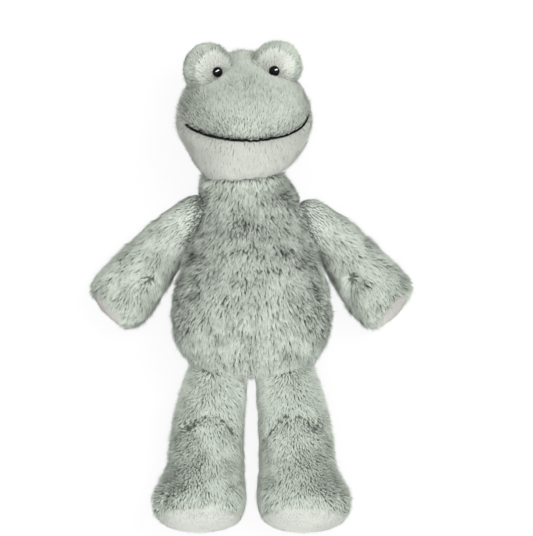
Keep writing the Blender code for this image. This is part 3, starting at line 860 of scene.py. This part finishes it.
body_cloth_tree = surface_of(body)
carve(body, neighbours())
mark_furred(body, body_cloth_tree)
spots = points_of(body)
comb = np.zeros_like(spots)
comb[:, 1] = -1.0
comb[:, 0] = spots[:, 0] * 5.0
for line in NECK_FOLDS:
    crease(body, laid_on(body_tree, line), 0.0, 3.0, comb, 1.8)
under = np.where(spots[:, 2] < 0.006, 0.6, 1.0)
opened = openness(body, BODY_OPEN)
bare = np.clip(opened, 0.0, 1.2)
flat_painted_light = held(-opened)
armholes, armpits = (
    np.maximum(*(close_to(body, tree, reach) for tree in arm_trees.values()))
    for reach in (ARMHOLE_REACH, ARMPIT_REACH)
)
chin = close_to(body, head_tree, CHIN_REACH)
# Painted shade: the body darker than the same pile on the legs, darker where it stands open and
# round the armholes; painted light where it lies flat and next to the head, against the chin's
# shadow.
grow_pile(body, long_cloth, long_pile, BODY_PILE, 11, comb,
          length=under * (1.0 - 0.12 * bare) * (1.0 - 0.35 * armholes) * (1.0 - 0.45 * armpits),
          density=under * (1.0 - 0.25 * bare) * (1.0 - 0.4 * armholes),
          lift=1.0 + opened,
          shade=-0.13 - 0.04 * bare + 0.05 * flat_painted_light - 0.35 * armholes + 0.26 * chin)
finish_plush(body, "torso", "torso_skin")
make_filling("body_filling", body_whole, BODY_FILLING_DEPTH, "torso", "torso_stuffing",
             cutters=neighbours())


# Head
# A short-pile crown, and a paler jaw sewn to it along the mouth and down the sides. The
# pile is about 3.5 mm long and stands up more than the body's.

# The dark roots, and the cloths that take the root colours, are painted shade of the pile's depth.
SAGE_ROOT = (0.20, 0.23, 0.195, 1.0)
SAGE_MIDDLE = (0.57, 0.615, 0.55, 1.0)
SAGE_TIP = (0.77, 0.82, 0.745, 1.0)
PALE_ROOT = (0.48, 0.50, 0.455, 1.0)
PALE_MIDDLE = (0.74, 0.76, 0.71, 1.0)
PALE_TIP = (0.82, 0.845, 0.79, 1.0)
sage_pile = pile_material("sage_pile", SAGE_ROOT, SAGE_MIDDLE, SAGE_TIP, 0.38, 0.018)
sage_cloth = cloth_material("sage_cloth", SAGE_ROOT)
pale_pile = pile_material("pale_pile", PALE_ROOT, PALE_MIDDLE, PALE_TIP, 0.26, 0.016)
pale_cloth = cloth_material("pale_cloth", PALE_ROOT)
HEAD_PILE = {
    "Density": 7.0e6, "Length": 0.0036, "Width": 0.00028, "Lift": 0.8,
    "Lock Spacing": 0.00135, "Locking": 0.65, "Waviness": 0.9, "Wave Size": 0.008,
    "Frizz": 0.18,
}
HEAD_INSET = 0.0022
# in the head's own side view, in mm: along, forward
MOUTH_PIVOT = (22.4, 28.1)
MOUTH_TILT = math.radians(28.0)
MOUTH_ROLL = math.radians(1.4)
SIDE_SEAM = -1.0
FAR = 150.0
MOUTH_ENDS = (-67.0, 61.0)
MOUTH_UPTURN, UPTURN_FROM = 1.6, 0.8
MOUTH_STEPS = 160
MOUTH_DEPTH = 7.5
WEDGE_HALF = 80.0
HEAD_FILLING_DEPTH = 0.0052


def mouth_height(forward):
    return MOUTH_PIVOT[0] + math.tan(MOUTH_TILT) * (MOUTH_PIVOT[1] - forward)


JAW_OUTLINE = (
    (mouth_height(SIDE_SEAM), SIDE_SEAM),
    (mouth_height(FAR), FAR),
    (-FAR, FAR),
    (-FAR, SIDE_SEAM),
)
pivot = Matrix.Translation(Vector((0.0, *MOUTH_PIVOT)) * MM)
MOUTH_PLACE = HEAD_PLACE @ pivot @ Matrix.Rotation(MOUTH_ROLL, 4, "Z") @ pivot.inverted()
MOUTH_TURN = MOUTH_PLACE.to_3x3()
MOUTH_MIDDLE = MOUTH_PLACE @ (Vector((0.0, mouth_height(MOUTH_DEPTH), MOUTH_DEPTH)) * MM)
MOUTH_ACROSS = MOUTH_TURN @ Vector((1.0, 0.0, 0.0))
MOUTH_AHEAD = MOUTH_TURN @ Vector((0.0, -math.sin(MOUTH_TILT), math.cos(MOUTH_TILT)))
MOUTH_NORMAL = MOUTH_TURN @ Vector((0.0, math.cos(MOUTH_TILT), math.sin(MOUTH_TILT)))


def mouth_spot(share, sunk=0.0):
    """A point of the mouth seam on the head's surface, sunk under it."""
    turn = math.radians(MOUTH_ENDS[0] + (MOUTH_ENDS[1] - MOUTH_ENDS[0]) * share)
    way = MOUTH_ACROSS * math.sin(turn) + MOUTH_AHEAD * math.cos(turn)
    way = (way + MOUTH_NORMAL * MOUTH_UPTURN * max(share - UPTURN_FROM, 0.0) ** 2).normalized()
    return head_tree.ray_cast(MOUTH_MIDDLE, way)[0] - way * sunk


def jaw_wedge():
    """A wedge that holds the jaw: ahead of the side seam and below the mouth."""
    rings = [[(x, y, z) for y, z in JAW_OUTLINE] for x in (-WEDGE_HALF, WEDGE_HALF)]
    mesh = ringed_mesh("jaw_room", rings)
    mesh.transform(MOUTH_PLACE)
    return mesh_object("jaw_room", mesh)


DOME_HALF = (17.2, 17.2, 13.5)
PATCH_FROM = 7.3
# in the domes' own directions, in mm
EYE_SPOTS = {"left": (-0.5, -1.0, 0.0), "right": (1.3, -0.5, 0.0)}
EYES = {
    "left": ((16.5, 147.0, 40.1), (0.9962, 0.0388, 0.0786), (-0.0537, 0.9789, 0.1974),
             (-0.0693, -0.2009, 0.9772)),
    "right": ((-28.8, 145.2, 48.7), (0.9018, 0.0388, -0.4304), (0.0434, 0.9828, 0.1794),
              (0.4299, -0.1805, 0.8846)),
}


def eye_place(word):
    centre, across, upward, look = (Vector(part) for part in EYES[word])
    place = Matrix((across, upward, look)).transposed().to_4x4()
    place.translation = centre * MM
    return place


def dome_form(word):
    """A dome as a ball pulled to its half sizes, with its poles left and right."""
    shape = bmesh.new()
    bmesh.ops.create_icosphere(shape, subdivisions=5, radius=1.0)
    mesh = mesh_from(shape, "dome_whole")
    mesh.transform(Matrix.Diagonal((*(half * MM for half in DOME_HALF), 1.0)))
    mesh.transform(eye_place(word))
    return mesh_object("dome_whole", mesh)


def split(piece, place, normal):
    """Keeps what lies behind a plane and closes the cut."""
    shape = bmesh.new()
    shape.from_mesh(piece.data)
    everything = shape.verts[:] + shape.edges[:] + shape.faces[:]
    cut = bmesh.ops.bisect_plane(
        shape, geom=everything, plane_co=place, plane_no=normal, clear_outer=True
    )
    rim = [part for part in cut["geom_cut"] if isinstance(part, bmesh.types.BMEdge)]
    bmesh.ops.edgeloop_fill(shape, edges=rim)
    face_outward(piece, shape)


def face_outward(piece, shape):
    """Gives a piece its changed form, with the faces outward."""
    bmesh.ops.recalc_face_normals(shape, faces=shape.faces)
    shape.to_mesh(piece.data)
    shape.free()
    piece.data.update()


def head_comb(piece, upwards):
    """Combed up or down the head, a little away from its middle line."""
    spots = points_of(piece)
    comb = np.zeros_like(spots)
    comb[:, 1] = upwards
    comb[:, 0] = (spots[:, 0] + 0.0055) * 6.0
    return comb


def unbrushed(piece):
    """1 on the toy's sides, where the brush doesn't reach, and 0 on its front."""
    return held(0.9 - 2.0 * np.abs(normals_of(piece)[:, 2]))


domes_whole = {word: dome_form(word) for word in EYES}
dome_trees = {word: surface_of(form) for word, form in domes_whole.items()}
head_inner = drawn_in(head_whole, "head_inner", HEAD_INSET)
mouth_line = [tuple(mouth_spot(step / 40) / MM) for step in range(41)]
crease(head_inner, mouth_line, 0.9, 3.0)
head_cloth_tree = surface_of(head_inner)

# x, y, reach in mm and amount: the cheek on the toy's right, and under the domes
CROWN_OPEN = (
    (-46.0, 116.0, 14.0, 1.8),
    (-38.0, 130.0, 9.0, 1.4),
    (-30.0, 112.0, 10.0, 0.6),
    (-16.0, 141.0, 7.0, 0.7),
    (-4.0, 138.0, 12.0, 0.8),
    (-10.0, 122.0, 14.0, 0.7),
    (6.0, 128.0, 11.0, 0.6),
    (28.0, 120.0, 14.0, -0.4),
)
CROWN_LIP, JAW_LIP, THROAT_REACH = 12.0, 16.0, 7.0
crown = copy_of(head_inner, "head_crown_plush")
carve(crown, [jaw_wedge()])
mark_furred(crown, head_cloth_tree, [*dome_trees.values(), body_tree], 0.0015)
opened = openness(crown, CROWN_OPEN)
lip = near_line(crown, mouth_line, CROWN_LIP)
sides = unbrushed(crown) * (1.0 - lip)
# Painted shade: the open pile on the cheek, turned away from the light, is painted darker.
grow_pile(crown, sage_cloth, sage_pile, HEAD_PILE, 21, head_comb(crown, 1.0),
          length=1.0 + 0.15 * opened - 0.25 * lip + 0.3 * sides,
          density=1.0 - 0.35 * np.maximum(opened, 0.0),
          lift=(1.0 + opened + 0.7 * sides) * (1.0 - 0.65 * lip),
          shade=-0.12 * np.clip(opened - 0.6, 0.0, 1.5))
finish_plush(crown, "head", "head_crown")

JAW_PILE = {**HEAD_PILE, "Locking": 0.8, "Lift": 1.0}
jaw = copy_of(head_inner, "head_jaw_plush")
carve(jaw, [jaw_wedge()], "INTERSECT")
mark_furred(jaw, head_cloth_tree, [body_tree])
throat = close_to(jaw, body_tree, THROAT_REACH)
lip = near_line(jaw, mouth_line, JAW_LIP)
# Painted light in a band under the mouth, and painted shade on the jaw below it.
grow_pile(jaw, pale_cloth, pale_pile, JAW_PILE, 22, head_comb(jaw, -1.0),
          length=1.0 + 0.5 * throat, lift=1.0 - 0.3 * throat, shade=0.16 * lip - 0.09)
finish_plush(jaw, "head", "head_jaw")
make_filling("head_filling", head_whole, HEAD_FILLING_DEPTH, "head", "head_stuffing")

# The patch's darker roots are painted shade of the pile's depth.
PATCH_ROOT = (0.72, 0.745, 0.69, 1.0)
PATCH_MIDDLE = (0.84, 0.865, 0.81, 1.0)
PATCH_TIP = (0.93, 0.955, 0.905, 1.0)
patch_pile = pile_material("patch_pile", PATCH_ROOT, PATCH_MIDDLE, PATCH_TIP, 0.16, 0.014)
DOME_INSET = 0.0020
DOME_PILE = {
    "patch": {**HEAD_PILE, "Length": 0.0034, "Locking": 0.35, "Frizz": 0.24},
    "mound": {**HEAD_PILE, "Length": 0.0036, "Locking": 0.75, "Lift": 1.05},
}
EYE_CLEARING, EYE_EDGE = 0.0037, 0.0006
for word in EYES:
    place = eye_place(word)
    look = place.to_3x3() @ Vector((0.0, 0.0, 1.0))
    seam = place @ Vector((0.0, 0.0, PATCH_FROM * MM))
    eye_spot = np.array(place @ (Vector(EYE_SPOTS[word]) * MM))
    swept = np.array((0.55 if word == "left" else -0.55, 1.0, 0.0))
    for kind, way, cloth, pile, slot in (
        ("mound", look, sage_cloth, sage_pile, "sage_pile"),
        ("patch", -look, pale_cloth, patch_pile, "pale_pile"),
    ):
        piece = drawn_in(domes_whole[word], f"eye_{kind}_{word}_plush", DOME_INSET)
        cloth_tree = surface_of(piece)
        split(piece, seam, way)
        if kind == "mound":
            carve(piece, [copy_of(head_inner, "crown_room")])
        mark_furred(piece, cloth_tree, [head_tree], 0.0005)
        around = points_of(piece) - eye_spot
        around -= np.outer(around @ np.array(look), np.array(look))
        radius = np.linalg.norm(around, axis=1, keepdims=True)
        outwards = around / np.maximum(radius, 1e-5)
        comb = outwards * held((radius - 0.005) / 0.006) + swept * 0.8
        low = held(-outwards @ swept - 0.2)
        near = held(1.0 - (radius[:, 0] - 0.0035) / 0.004)
        beside_eye = held((radius[:, 0] - EYE_CLEARING) / EYE_EDGE)
        seed = 31 + 2 * (word == "left") + (kind == "patch")
        grow_pile(piece, cloth, pile, DOME_PILE[kind], seed, comb,
                  length=1.0 - (0.35 - 0.45 * low) * near, density=beside_eye,
                  lift=1.0 + 0.4 * near)
        finish_plush(piece, "head", f"eye_{kind}_{word}")


# Mouth line
# A dark cord along the seam between crown and jaw, oversewn with slanting stitches and
# pulled a little into the pile. It is thicker on the toy's right.

CORD_RADIUS, CORD_SIDES = 0.00075, 8
CORD_SUNK, CORD_WOBBLE = 0.0004, 0.0008
STITCH_SPACING = 0.00150
STITCH_LENGTH = 0.0026
STITCH_RADIUS = 0.00056
STITCH_SLANT = 0.85
STITCH_LOOSE = 0.16
STITCH_INPUTS = {"Stitch": "Object", "Thread": "Material", "Across": "Vector",
                 "Cord Radius": "Float", "Spacing": "Float", "Slant": "Float", "Seed": "Int"}


def make_stitch_tree():
    """A cord along a route of points, oversewn with slanting stitches."""
    g = Steps("oversewing", "Route", STITCH_INPUTS, "Sewn")
    given = g.given
    thickness = g.kept("thickness")
    route = g.node("GeometryNodeMeshToCurve", {"Mesh": given["Route"]})
    ring = g.node("GeometryNodeCurvePrimitiveCircle", {"Resolution": CORD_SIDES, "Radius": 1.0},
                  mode="RADIUS")
    inputs = {"Curve": route, "Profile Curve": ring, "Scale": thickness * given["Cord Radius"],
              "Fill Caps": True}
    cord = g.node("GeometryNodeCurveToMesh", inputs)
    inputs = {"Curve": route, "Length": given["Spacing"]}
    spots = g.node("GeometryNodeResampleCurve", inputs, mode="LENGTH")
    across = g.scaled(given["Across"], given["Slant"])
    way = g.vectors("ADD", g.node("GeometryNodeInputTangent"), across)
    loose = g.chance((-STITCH_LOOSE,) * 3, (STITCH_LOOSE,) * 3, kind="FLOAT_VECTOR")
    turn = g.facing(g.vectors("ADD", way, loose), given["Across"])
    stitches = g.planted(spots, given["Stitch"], turn, g.together(thickness, thickness, 1.0))
    return g.leave(g.coloured(g.merged(stitches, cord), given["Thread"]))


route = [mouth_spot(step / MOUTH_STEPS, CORD_SUNK) for step in range(MOUTH_STEPS + 1)]
mesh = bpy.data.meshes.new("mouth_cord")
mesh.from_pydata(route, [(step, step + 1) for step in range(MOUTH_STEPS)], [])
mouth = mesh_object("mouth_cord", mesh)
along = np.linspace(0.0, 1.0, MOUTH_STEPS + 1)
taper = np.clip(np.minimum(along, 1.0 - along) / 0.02, 0.35, 1.0)
uneven = np.array([noise.noise(spot / (2.5 * MM)) for spot in route])
for point, wobble in zip(mesh.vertices, uneven):
    point.co += MOUTH_NORMAL * CORD_WOBBLE * wobble
keep(mouth, "thickness", (1.45 - 0.70 * along) * taper * (1.0 + 0.35 * uneven))
shape = bmesh.new()
bmesh.ops.create_uvsphere(shape, u_segments=8, v_segments=6, radius=1.0)
stitch_mesh = mesh_from(shape, "stitch")
stitch_mesh.transform(Matrix.Diagonal((STITCH_RADIUS, STITCH_RADIUS, STITCH_LENGTH / 2, 1.0)))
stitch_mesh.shade_smooth()
stitch = mesh_object("stitch", stitch_mesh)
stitch.hide_render = True
mouth_material, g, shader = material("mouth_thread")
colour = g.mix(g.noise(1500.0, 2.0), (0.002, 0.003, 0.003, 1.0), (0.016, 0.021, 0.018, 1.0))
set_shader(g, shader, Base_Color=colour, Roughness=0.85, Specular_IOR_Level=0.0)
sizes = {"Cord Radius": CORD_RADIUS, "Spacing": STITCH_SPACING, "Slant": STITCH_SLANT}
own = {"Stitch": stitch, "Thread": mouth_material, "Across": tuple(MOUTH_NORMAL), "Seed": 3}
run_steps(mouth, make_stitch_tree(), {**sizes, **own})
shape = bmesh.new()
shape.from_mesh(mouth.data)
face_outward(mouth, shape)
hand_over(mouth, "head", "mouth_line")


# Eyes
# Two black safety eyes with a polished dome, a thin rim and a ribbed stem, locked from
# behind by washers.

EYE_SEAT = 11.2
EYE_RADIUS, EYE_RISE, EYE_RIM = 3.7, 2.7, 0.6
STEM_RADIUS, STEM_LENGTH = 1.3, 12.0
WASHER_BORE, WASHER_RADIUS, WASHER_BACK, WASHER_FRONT, WASHER_LIP = 1.75, 5.5, 3.2, 4.4, 0.5
WASHER_PROFILE = (
    (WASHER_BORE, WASHER_BACK),
    (WASHER_BORE, WASHER_FRONT),
    (WASHER_BORE + WASHER_LIP, WASHER_FRONT + WASHER_LIP),
    (WASHER_BORE + 2 * WASHER_LIP, WASHER_FRONT),
    (WASHER_RADIUS, WASHER_FRONT),
    (WASHER_RADIUS, WASHER_BACK),
)
EYE_SEGMENTS = 48
eye_material, g, shader = material("eye_plastic")
wear = g.noise(400.0, 2.0)
set_shader(g, shader, Base_Color=(0.003, 0.003, 0.003, 1.0), Roughness=wear * 0.04 + 0.03)
set_shader(g, shader, IOR=1.22, Specular_IOR_Level=0.5)
washer_material, g, shader = material("washer_plastic")
cloud = g.noise(300.0, 2.0)
colour = g.mix(cloud, (0.70, 0.70, 0.68, 1.0), (0.84, 0.84, 0.82, 1.0))
set_shader(g, shader, Base_Color=colour, Roughness=cloud * 0.2 + 0.35)


def turned_form(name, profile, ring_shaped):
    """A form of revolution about its own z axis, from radius and height pairs in mm."""
    turns = [2 * math.pi * corner / EYE_SEGMENTS for corner in range(EYE_SEGMENTS)]
    rings = [[(radius * math.cos(turn), radius * math.sin(turn), height) for turn in turns]
             for radius, height in profile]
    mesh = ringed_mesh(name, rings, ring_shaped)
    for face in mesh.polygons:
        face.use_smooth = len(face.vertices) == 4 and not ring_shaped
    return mesh_object(name, mesh)


profile = [(STEM_RADIUS, -STEM_LENGTH)]
for rib in range(5):
    height = -STEM_LENGTH + 2.0 + 1.8 * rib
    profile += [(STEM_RADIUS, height), (STEM_RADIUS + 0.25, height + 0.3)]
    profile.append((STEM_RADIUS, height + 0.6))
profile += [(STEM_RADIUS, 0.0), (EYE_RADIUS - 0.1, 0.0)]
profile += [(EYE_RADIUS, 0.12), (EYE_RADIUS, EYE_RIM)]
for step in range(1, 13):
    turn = math.radians(90 * step / 12.4)
    profile.append((EYE_RADIUS * math.cos(turn), EYE_RIM + (EYE_RISE - EYE_RIM) * math.sin(turn)))
for word in EYES:
    for kind, outline, seat, plastic, node, slot in (
        ("button", profile, EYE_SEAT, eye_material, f"eye_{word}", "eye_plastic"),
        ("washer", WASHER_PROFILE, 0.0, washer_material, f"eye_washer_{word}", "washer_plastic"),
    ):
        piece = turned_form(f"eye_{word}_{kind}", outline, kind == "washer")
        spot = Vector(EYE_SPOTS[word]) * MM + Vector((0.0, 0.0, seat * MM))
        piece.data.transform(eye_place(word) @ Matrix.Translation(spot))
        dress(piece, plastic)
        hand_over(piece, "head", node)


# Arms
# Two sleeves of the long pile, turned and stuffed. Each is sewn into a side seam of the
# body, pinched at the wrist and closed at its end by a pale pad.

def rim_share(piece, place, normal, reach):
    """1 at a plane that the piece ends at, fading to 0 at the reach behind it."""
    behind = (np.array(place) - points_of(piece)) @ np.array(normal.normalized())
    return held(1.0 - behind / reach)


def bulge(piece, place, normal, height, radius):
    """Domes the part ahead of a plane outwards, most at the middle."""
    points = points_of(piece)
    way = np.array(normal.normalized())
    gaps = points - np.array(place)
    ahead = gaps @ way
    beside = np.linalg.norm(gaps - ahead[:, None] * way, axis=1)
    share = held(1.0 - (beside / radius) ** 2) * held(ahead / 0.003)
    points += way * (share * height)[:, None]
    points[:, 2] = np.maximum(points[:, 2], CLOTH_FLOOR)
    move_points(piece, points)


def cut_at_pad(piece, place, way):
    """Cuts a limb's form at its pad's seam and marks where pile stands on it."""
    cloth_tree = surface_of(piece)
    split(piece, place, way)
    mark_furred(piece, cloth_tree, [body_tree], BURIED)


PAW_BULGE, PAW_RADIUS = 0.0022, 0.020
ARM_INSET, PAW_INSET = 0.0026, 0.0008
ARM_FILLING_DEPTH = 0.0050
BURIED = 0.003
PAD_PILE = {**HEAD_PILE, "Length": 0.0017, "Lift": 0.6, "Locking": 0.2}
# The pad's darker roots are painted shade of the pile's depth.
PAD_ROOT = (0.54, 0.52, 0.49, 1.0)
PAD_MIDDLE = (0.68, 0.66, 0.63, 1.0)
PAD_TIP = (0.76, 0.74, 0.71, 1.0)
pad_pile = pile_material("pad_pile", PAD_ROOT, PAD_MIDDLE, PAD_TIP, 0.15, 0.012)
pad_cloth = cloth_material("pad_cloth", PAD_MIDDLE)
PAW_NORMAL = (0.69, -0.68, 0.25)
ARM_ROOT = (38.23, 39.26, 31.4)
ARM_WAY = (0.7133, -0.7009, 0.0)
PAW_FROM, PAW_HEIGHT = 80.0, 18.5
SHOULDER_FROM, SHOULDER_TO = 6.0, 34.0
SEWN_REACH, PIT_REACH = 2.5, 9.0
CUFF_REACH, PAW_REACH = 0.010, 0.026
# seen from above in mm: the fold at the wrist, and the whorl that its pinch makes
WRIST_FOLD = ((59.5, -7.5), (64.5, -1.5), (68.5, 4.0))
WHORL = (68.7, 4.5)
for side, word in ((1, "left"), (-1, "right")):
    outward = Vector((side * ARM_WAY[0], *ARM_WAY[1:]))
    root = Vector((side * ARM_ROOT[0], *ARM_ROOT[1:]))
    place = root + outward * PAW_FROM
    place.z = PAW_HEIGHT
    place *= MM
    normal = Vector((side * PAW_NORMAL[0], *PAW_NORMAL[1:])).normalized()
    seam = [tuple((root + outward * reach) * MM) for reach in (SHOULDER_FROM, SHOULDER_TO)]
    fold = laid_on(arm_trees[side], WRIST_FOLD, side)
    for kind, way, depth in (("arm", normal, ARM_INSET), ("paw_pad", -normal, PAW_INSET)):
        piece = drawn_in(arms_whole[side], f"{kind}_{word}_plush", depth)
        if kind == "arm":
            crease(piece, fold, 2.2, 3.0)
        else:
            bulge(piece, place, normal, PAW_BULGE, PAW_RADIUS)
        cut_at_pad(piece, place, way)
        comb = np.tile(np.array(outward), (len(piece.data.vertices), 1))
        comb[:, 1] -= 0.2
        if kind == "paw_pad":
            grow_pile(piece, pad_cloth, pad_pile, PAD_PILE, 45 + side, comb + (0.0, -1.0, 0.0))
            finish_plush(piece, f"arm_{word}", f"paw_pad_{word}")
            continue
        crease(piece, fold, 0.0, 4.0, comb, 1.2)
        spots = points_of(piece)
        reach = (spots - np.array(root) * MM) @ np.array(outward)[:, None] / 0.030
        reach = held(reach)[:, 0]
        comb[:, 0] += side * (1.0 - reach) * 1.4
        comb[:, 1] -= 0.3 * reach
        inner_edge = (spots[:, 0] * side < 0.060) & (spots[:, 2] > FRONT_HEIGHT * MM)
        comb[:, 1] -= 0.5 * inner_edge
        from_whorl = spots[:, :2] - np.array((side * WHORL[0], WHORL[1])) * MM
        far = np.linalg.norm(from_whorl, axis=1, keepdims=True)
        burst = from_whorl / np.maximum(far, 1e-5) * np.exp(-((far / 0.010) ** 2))
        comb[:, :2] += burst * 1.6 * (spots[:, 2:3] > 0.02)
        rim = rim_share(piece, place, normal, CUFF_REACH)
        paw = rim_share(piece, place, normal, PAW_REACH)
        ragged = held(0.5 + patches(piece, 5.0, 60 + side))
        capped = 1.0 - held(reach * 2.0 - 0.2)
        armhole = close_to(piece, body_tree, SEWN_REACH)
        armpit = close_to(piece, body_tree, PIT_REACH)
        # Painted shade round the armhole, where arm meets body; the pile is also darker towards
        # the paw.
        grow_pile(piece, long_cloth, long_pile, BODY_PILE, 41 + side, comb,
                  length=(1.0 - 0.5 * rim * ragged) * (1.0 - 0.45 * capped) * (1.0 - 0.5 * armpit),
                  density=1.0 - 0.3 * armhole,
                  lift=(1.0 + 0.4 * rim) * (0.85 - 0.45 * capped),
                  shade=0.03 - 0.35 * armhole - 0.12 * paw)
        finish_plush(piece, f"arm_{word}", f"arm_{word}", seam)
    make_filling(f"arm_{word}_filling", arms_whole[side], ARM_FILLING_DEPTH, f"arm_{word}",
                 f"arm_stuffing_{word}", seam)


# Legs
# Two tubes of the long pile that widen into feet, turned and stuffed. They are sewn into
# the body's bottom seam, creased at the knees and closed by bulging pale soles.

def taken(piece, name):
    """Reads stored vectors back and drops them."""
    layer = piece.data.attributes[name]
    values = read(layer.data, "vector")
    piece.data.attributes.remove(layer)
    return values


LEG_PILE = {
    **BODY_PILE, "Length": 0.0049, "Lift": 1.25, "Lock Spacing": 0.00125, "Locking": 1.1,
    "Waviness": 0.8,
}
LEG_INSET, SOLE_INSET = 0.0022, 0.0004
SOLE_BULGE, SOLE_RADIUS = 0.0015, 0.034
LEG_FILLING_DEPTH = 0.0062
# line seen from above in mm, depth, reach, parting: the knee, two ankle darts and a tuft
LEG_CREASES = (
    (((8, -103), (12, -97), (17, -91), (23, -86.5), (30, -85), (38, -89), (52, -99)),
     3.2, 2.6, 1.6),
    (((8.5, -144.5), (14.5, -141)), 2.6, 2.6, 2.0),
    (((11.5, -125), (13.5, -130)), 2.2, 2.4, 2.0),
    (((54, -132), (58.5, -148)), 2.2, 2.6, 1.0),
)
# x, y, reach in mm and amount: the outer sides stand open under painted shade, the shins and
# insteps lie flat
LEG_OPEN = (
    (26.0, -66.0, 11.0, 0.4),
    (45.0, -66.0, 15.0, 0.5),
    (48.0, -88.0, 14.0, 0.7),
    (47.0, -112.0, 15.0, 0.8),
    (56.0, -138.0, 13.0, 1.5),
    (20.0, -104.0, 12.0, -0.4),
    (22.0, -128.0, 9.0, -0.6),
    (34.0, -128.0, 9.0, -0.6),
    (45.0, -127.0, 8.0, -0.4),
)
SOLE_PLACE = (35.5, -154.3, 29.0)
SOLE_NORMAL = (0.0, -0.956, 0.292)
HIP_BURST = (0.029, -0.056, 0.045)
HIP_SEAM = (0.0225, (-0.058, -0.090), 0.0314)
SOLE_RIM, KNEE_REACH, GROOVE_REACH = 0.011, 6.0, 2.6
for side, word in ((1, "left"), (-1, "right")):
    place = Vector((side * SOLE_PLACE[0], *SOLE_PLACE[1:])) * MM
    normal = Vector(SOLE_NORMAL)
    seam = [(side * HIP_SEAM[0], y, HIP_SEAM[2]) for y in HIP_SEAM[1]]
    lines = [laid_on(leg_trees[side], line, side) for line, *_ in LEG_CREASES]
    for kind, way, depth in (("leg", normal, LEG_INSET), ("sole_pad", -normal, SOLE_INSET)):
        piece = drawn_in(legs_whole[side], f"{kind}_{word}_plush", depth)
        if kind == "leg":
            spots = points_of(piece)
            burst = spots - np.array((side * HIP_BURST[0], *HIP_BURST[1:]))
            comb = np.tile((0.0, -1.0, 0.0), (len(spots), 1))
            comb += burst * 150.0 * np.exp(-((spots[:, 1:2] - HIP_BURST[1]) / 0.020) ** 2)
            for line, (_, deep, reach, parting) in zip(lines, LEG_CREASES):
                crease(piece, line, deep, reach, comb, parting)
            keep(piece, "combing", comb)
        else:
            bulge(piece, place, normal, SOLE_BULGE, SOLE_RADIUS)
        cut_at_pad(piece, place, way)
        if kind == "sole_pad":
            comb = np.tile((0.0, -1.0, 0.0), (len(piece.data.vertices), 1))
            grow_pile(piece, pale_cloth, pale_pile, PAD_PILE, 55 + side, comb)
            finish_plush(piece, f"leg_{word}", f"sole_pad_{word}")
            continue
        comb = taken(piece, "combing")
        rim = rim_share(piece, place, normal, SOLE_RIM)
        ragged = held(0.55 + patches(piece, 5.0, 70 + side))
        inner = held(1.0 - (side * points_of(piece)[:, 0] - 0.004) / 0.008)
        opened = openness(piece, LEG_OPEN, side)
        loosened = np.maximum(opened, 0.0)
        arch = near_line(piece, lines[0], KNEE_REACH)
        sides = unbrushed(piece) * (1.0 - inner)
        groove = sum(near_line(piece, line, GROOVE_REACH) for line in lines[:3])
        # Painted light: the legs lighter than the same pile on the body; painted shade where the
        # pile stands open and along the knee and ankle grooves.
        grow_pile(piece, long_cloth, long_pile, LEG_PILE, 51 + side, comb,
                  length=(1.0 - 0.6 * rim * ragged) * (1.0 - 0.3 * inner) * (1.0 - 0.35 * arch)
                  * (1.0 + 0.12 * loosened),
                  density=1.0 - 0.2 * loosened,
                  lift=(1.0 - 0.6 * inner) * (1.0 + 0.6 * opened + 0.4 * sides),
                  shade=0.16 - 0.09 * opened - 0.35 * groove)
        finish_plush(piece, f"leg_{word}", f"leg_{word}", seam)
    make_filling(f"leg_{word}_filling", legs_whole[side], LEG_FILLING_DEPTH, f"leg_{word}",
                 f"leg_stuffing_{word}", seam)


# Neck thread
# A strong white thread, drawn up and tied round the neck opening inside the head. It
# keeps the solid's own form, with the shade in the grooves of its twisted strands painted
# on in darker stripes.

PLY_TURNS = 2600.0
thread_material, g, shader = material("sewing_thread")
x, y, z = g.apart(g.place())
# Painted shade: darker stripes for the grooves of the twist.
ply_shade = g.math("SINE", x * PLY_TURNS + y * PLY_TURNS + z * PLY_TURNS)
colour = g.mix(ply_shade * 0.5 + 0.5, (0.62, 0.62, 0.58, 1.0), (0.88, 0.88, 0.85, 1.0))
set_shader(g, shader, Base_Color=colour, Roughness=0.75)
dress(bpy.data.objects["neck_thread"], thread_material)


# Working forms
# The forms that were only worked with go.

for form in (blade, stitch, body_whole, head_whole, head_inner, *arms_whole.values(),
             *legs_whole.values(), *domes_whole.values()):
    bpy.data.objects.remove(form)
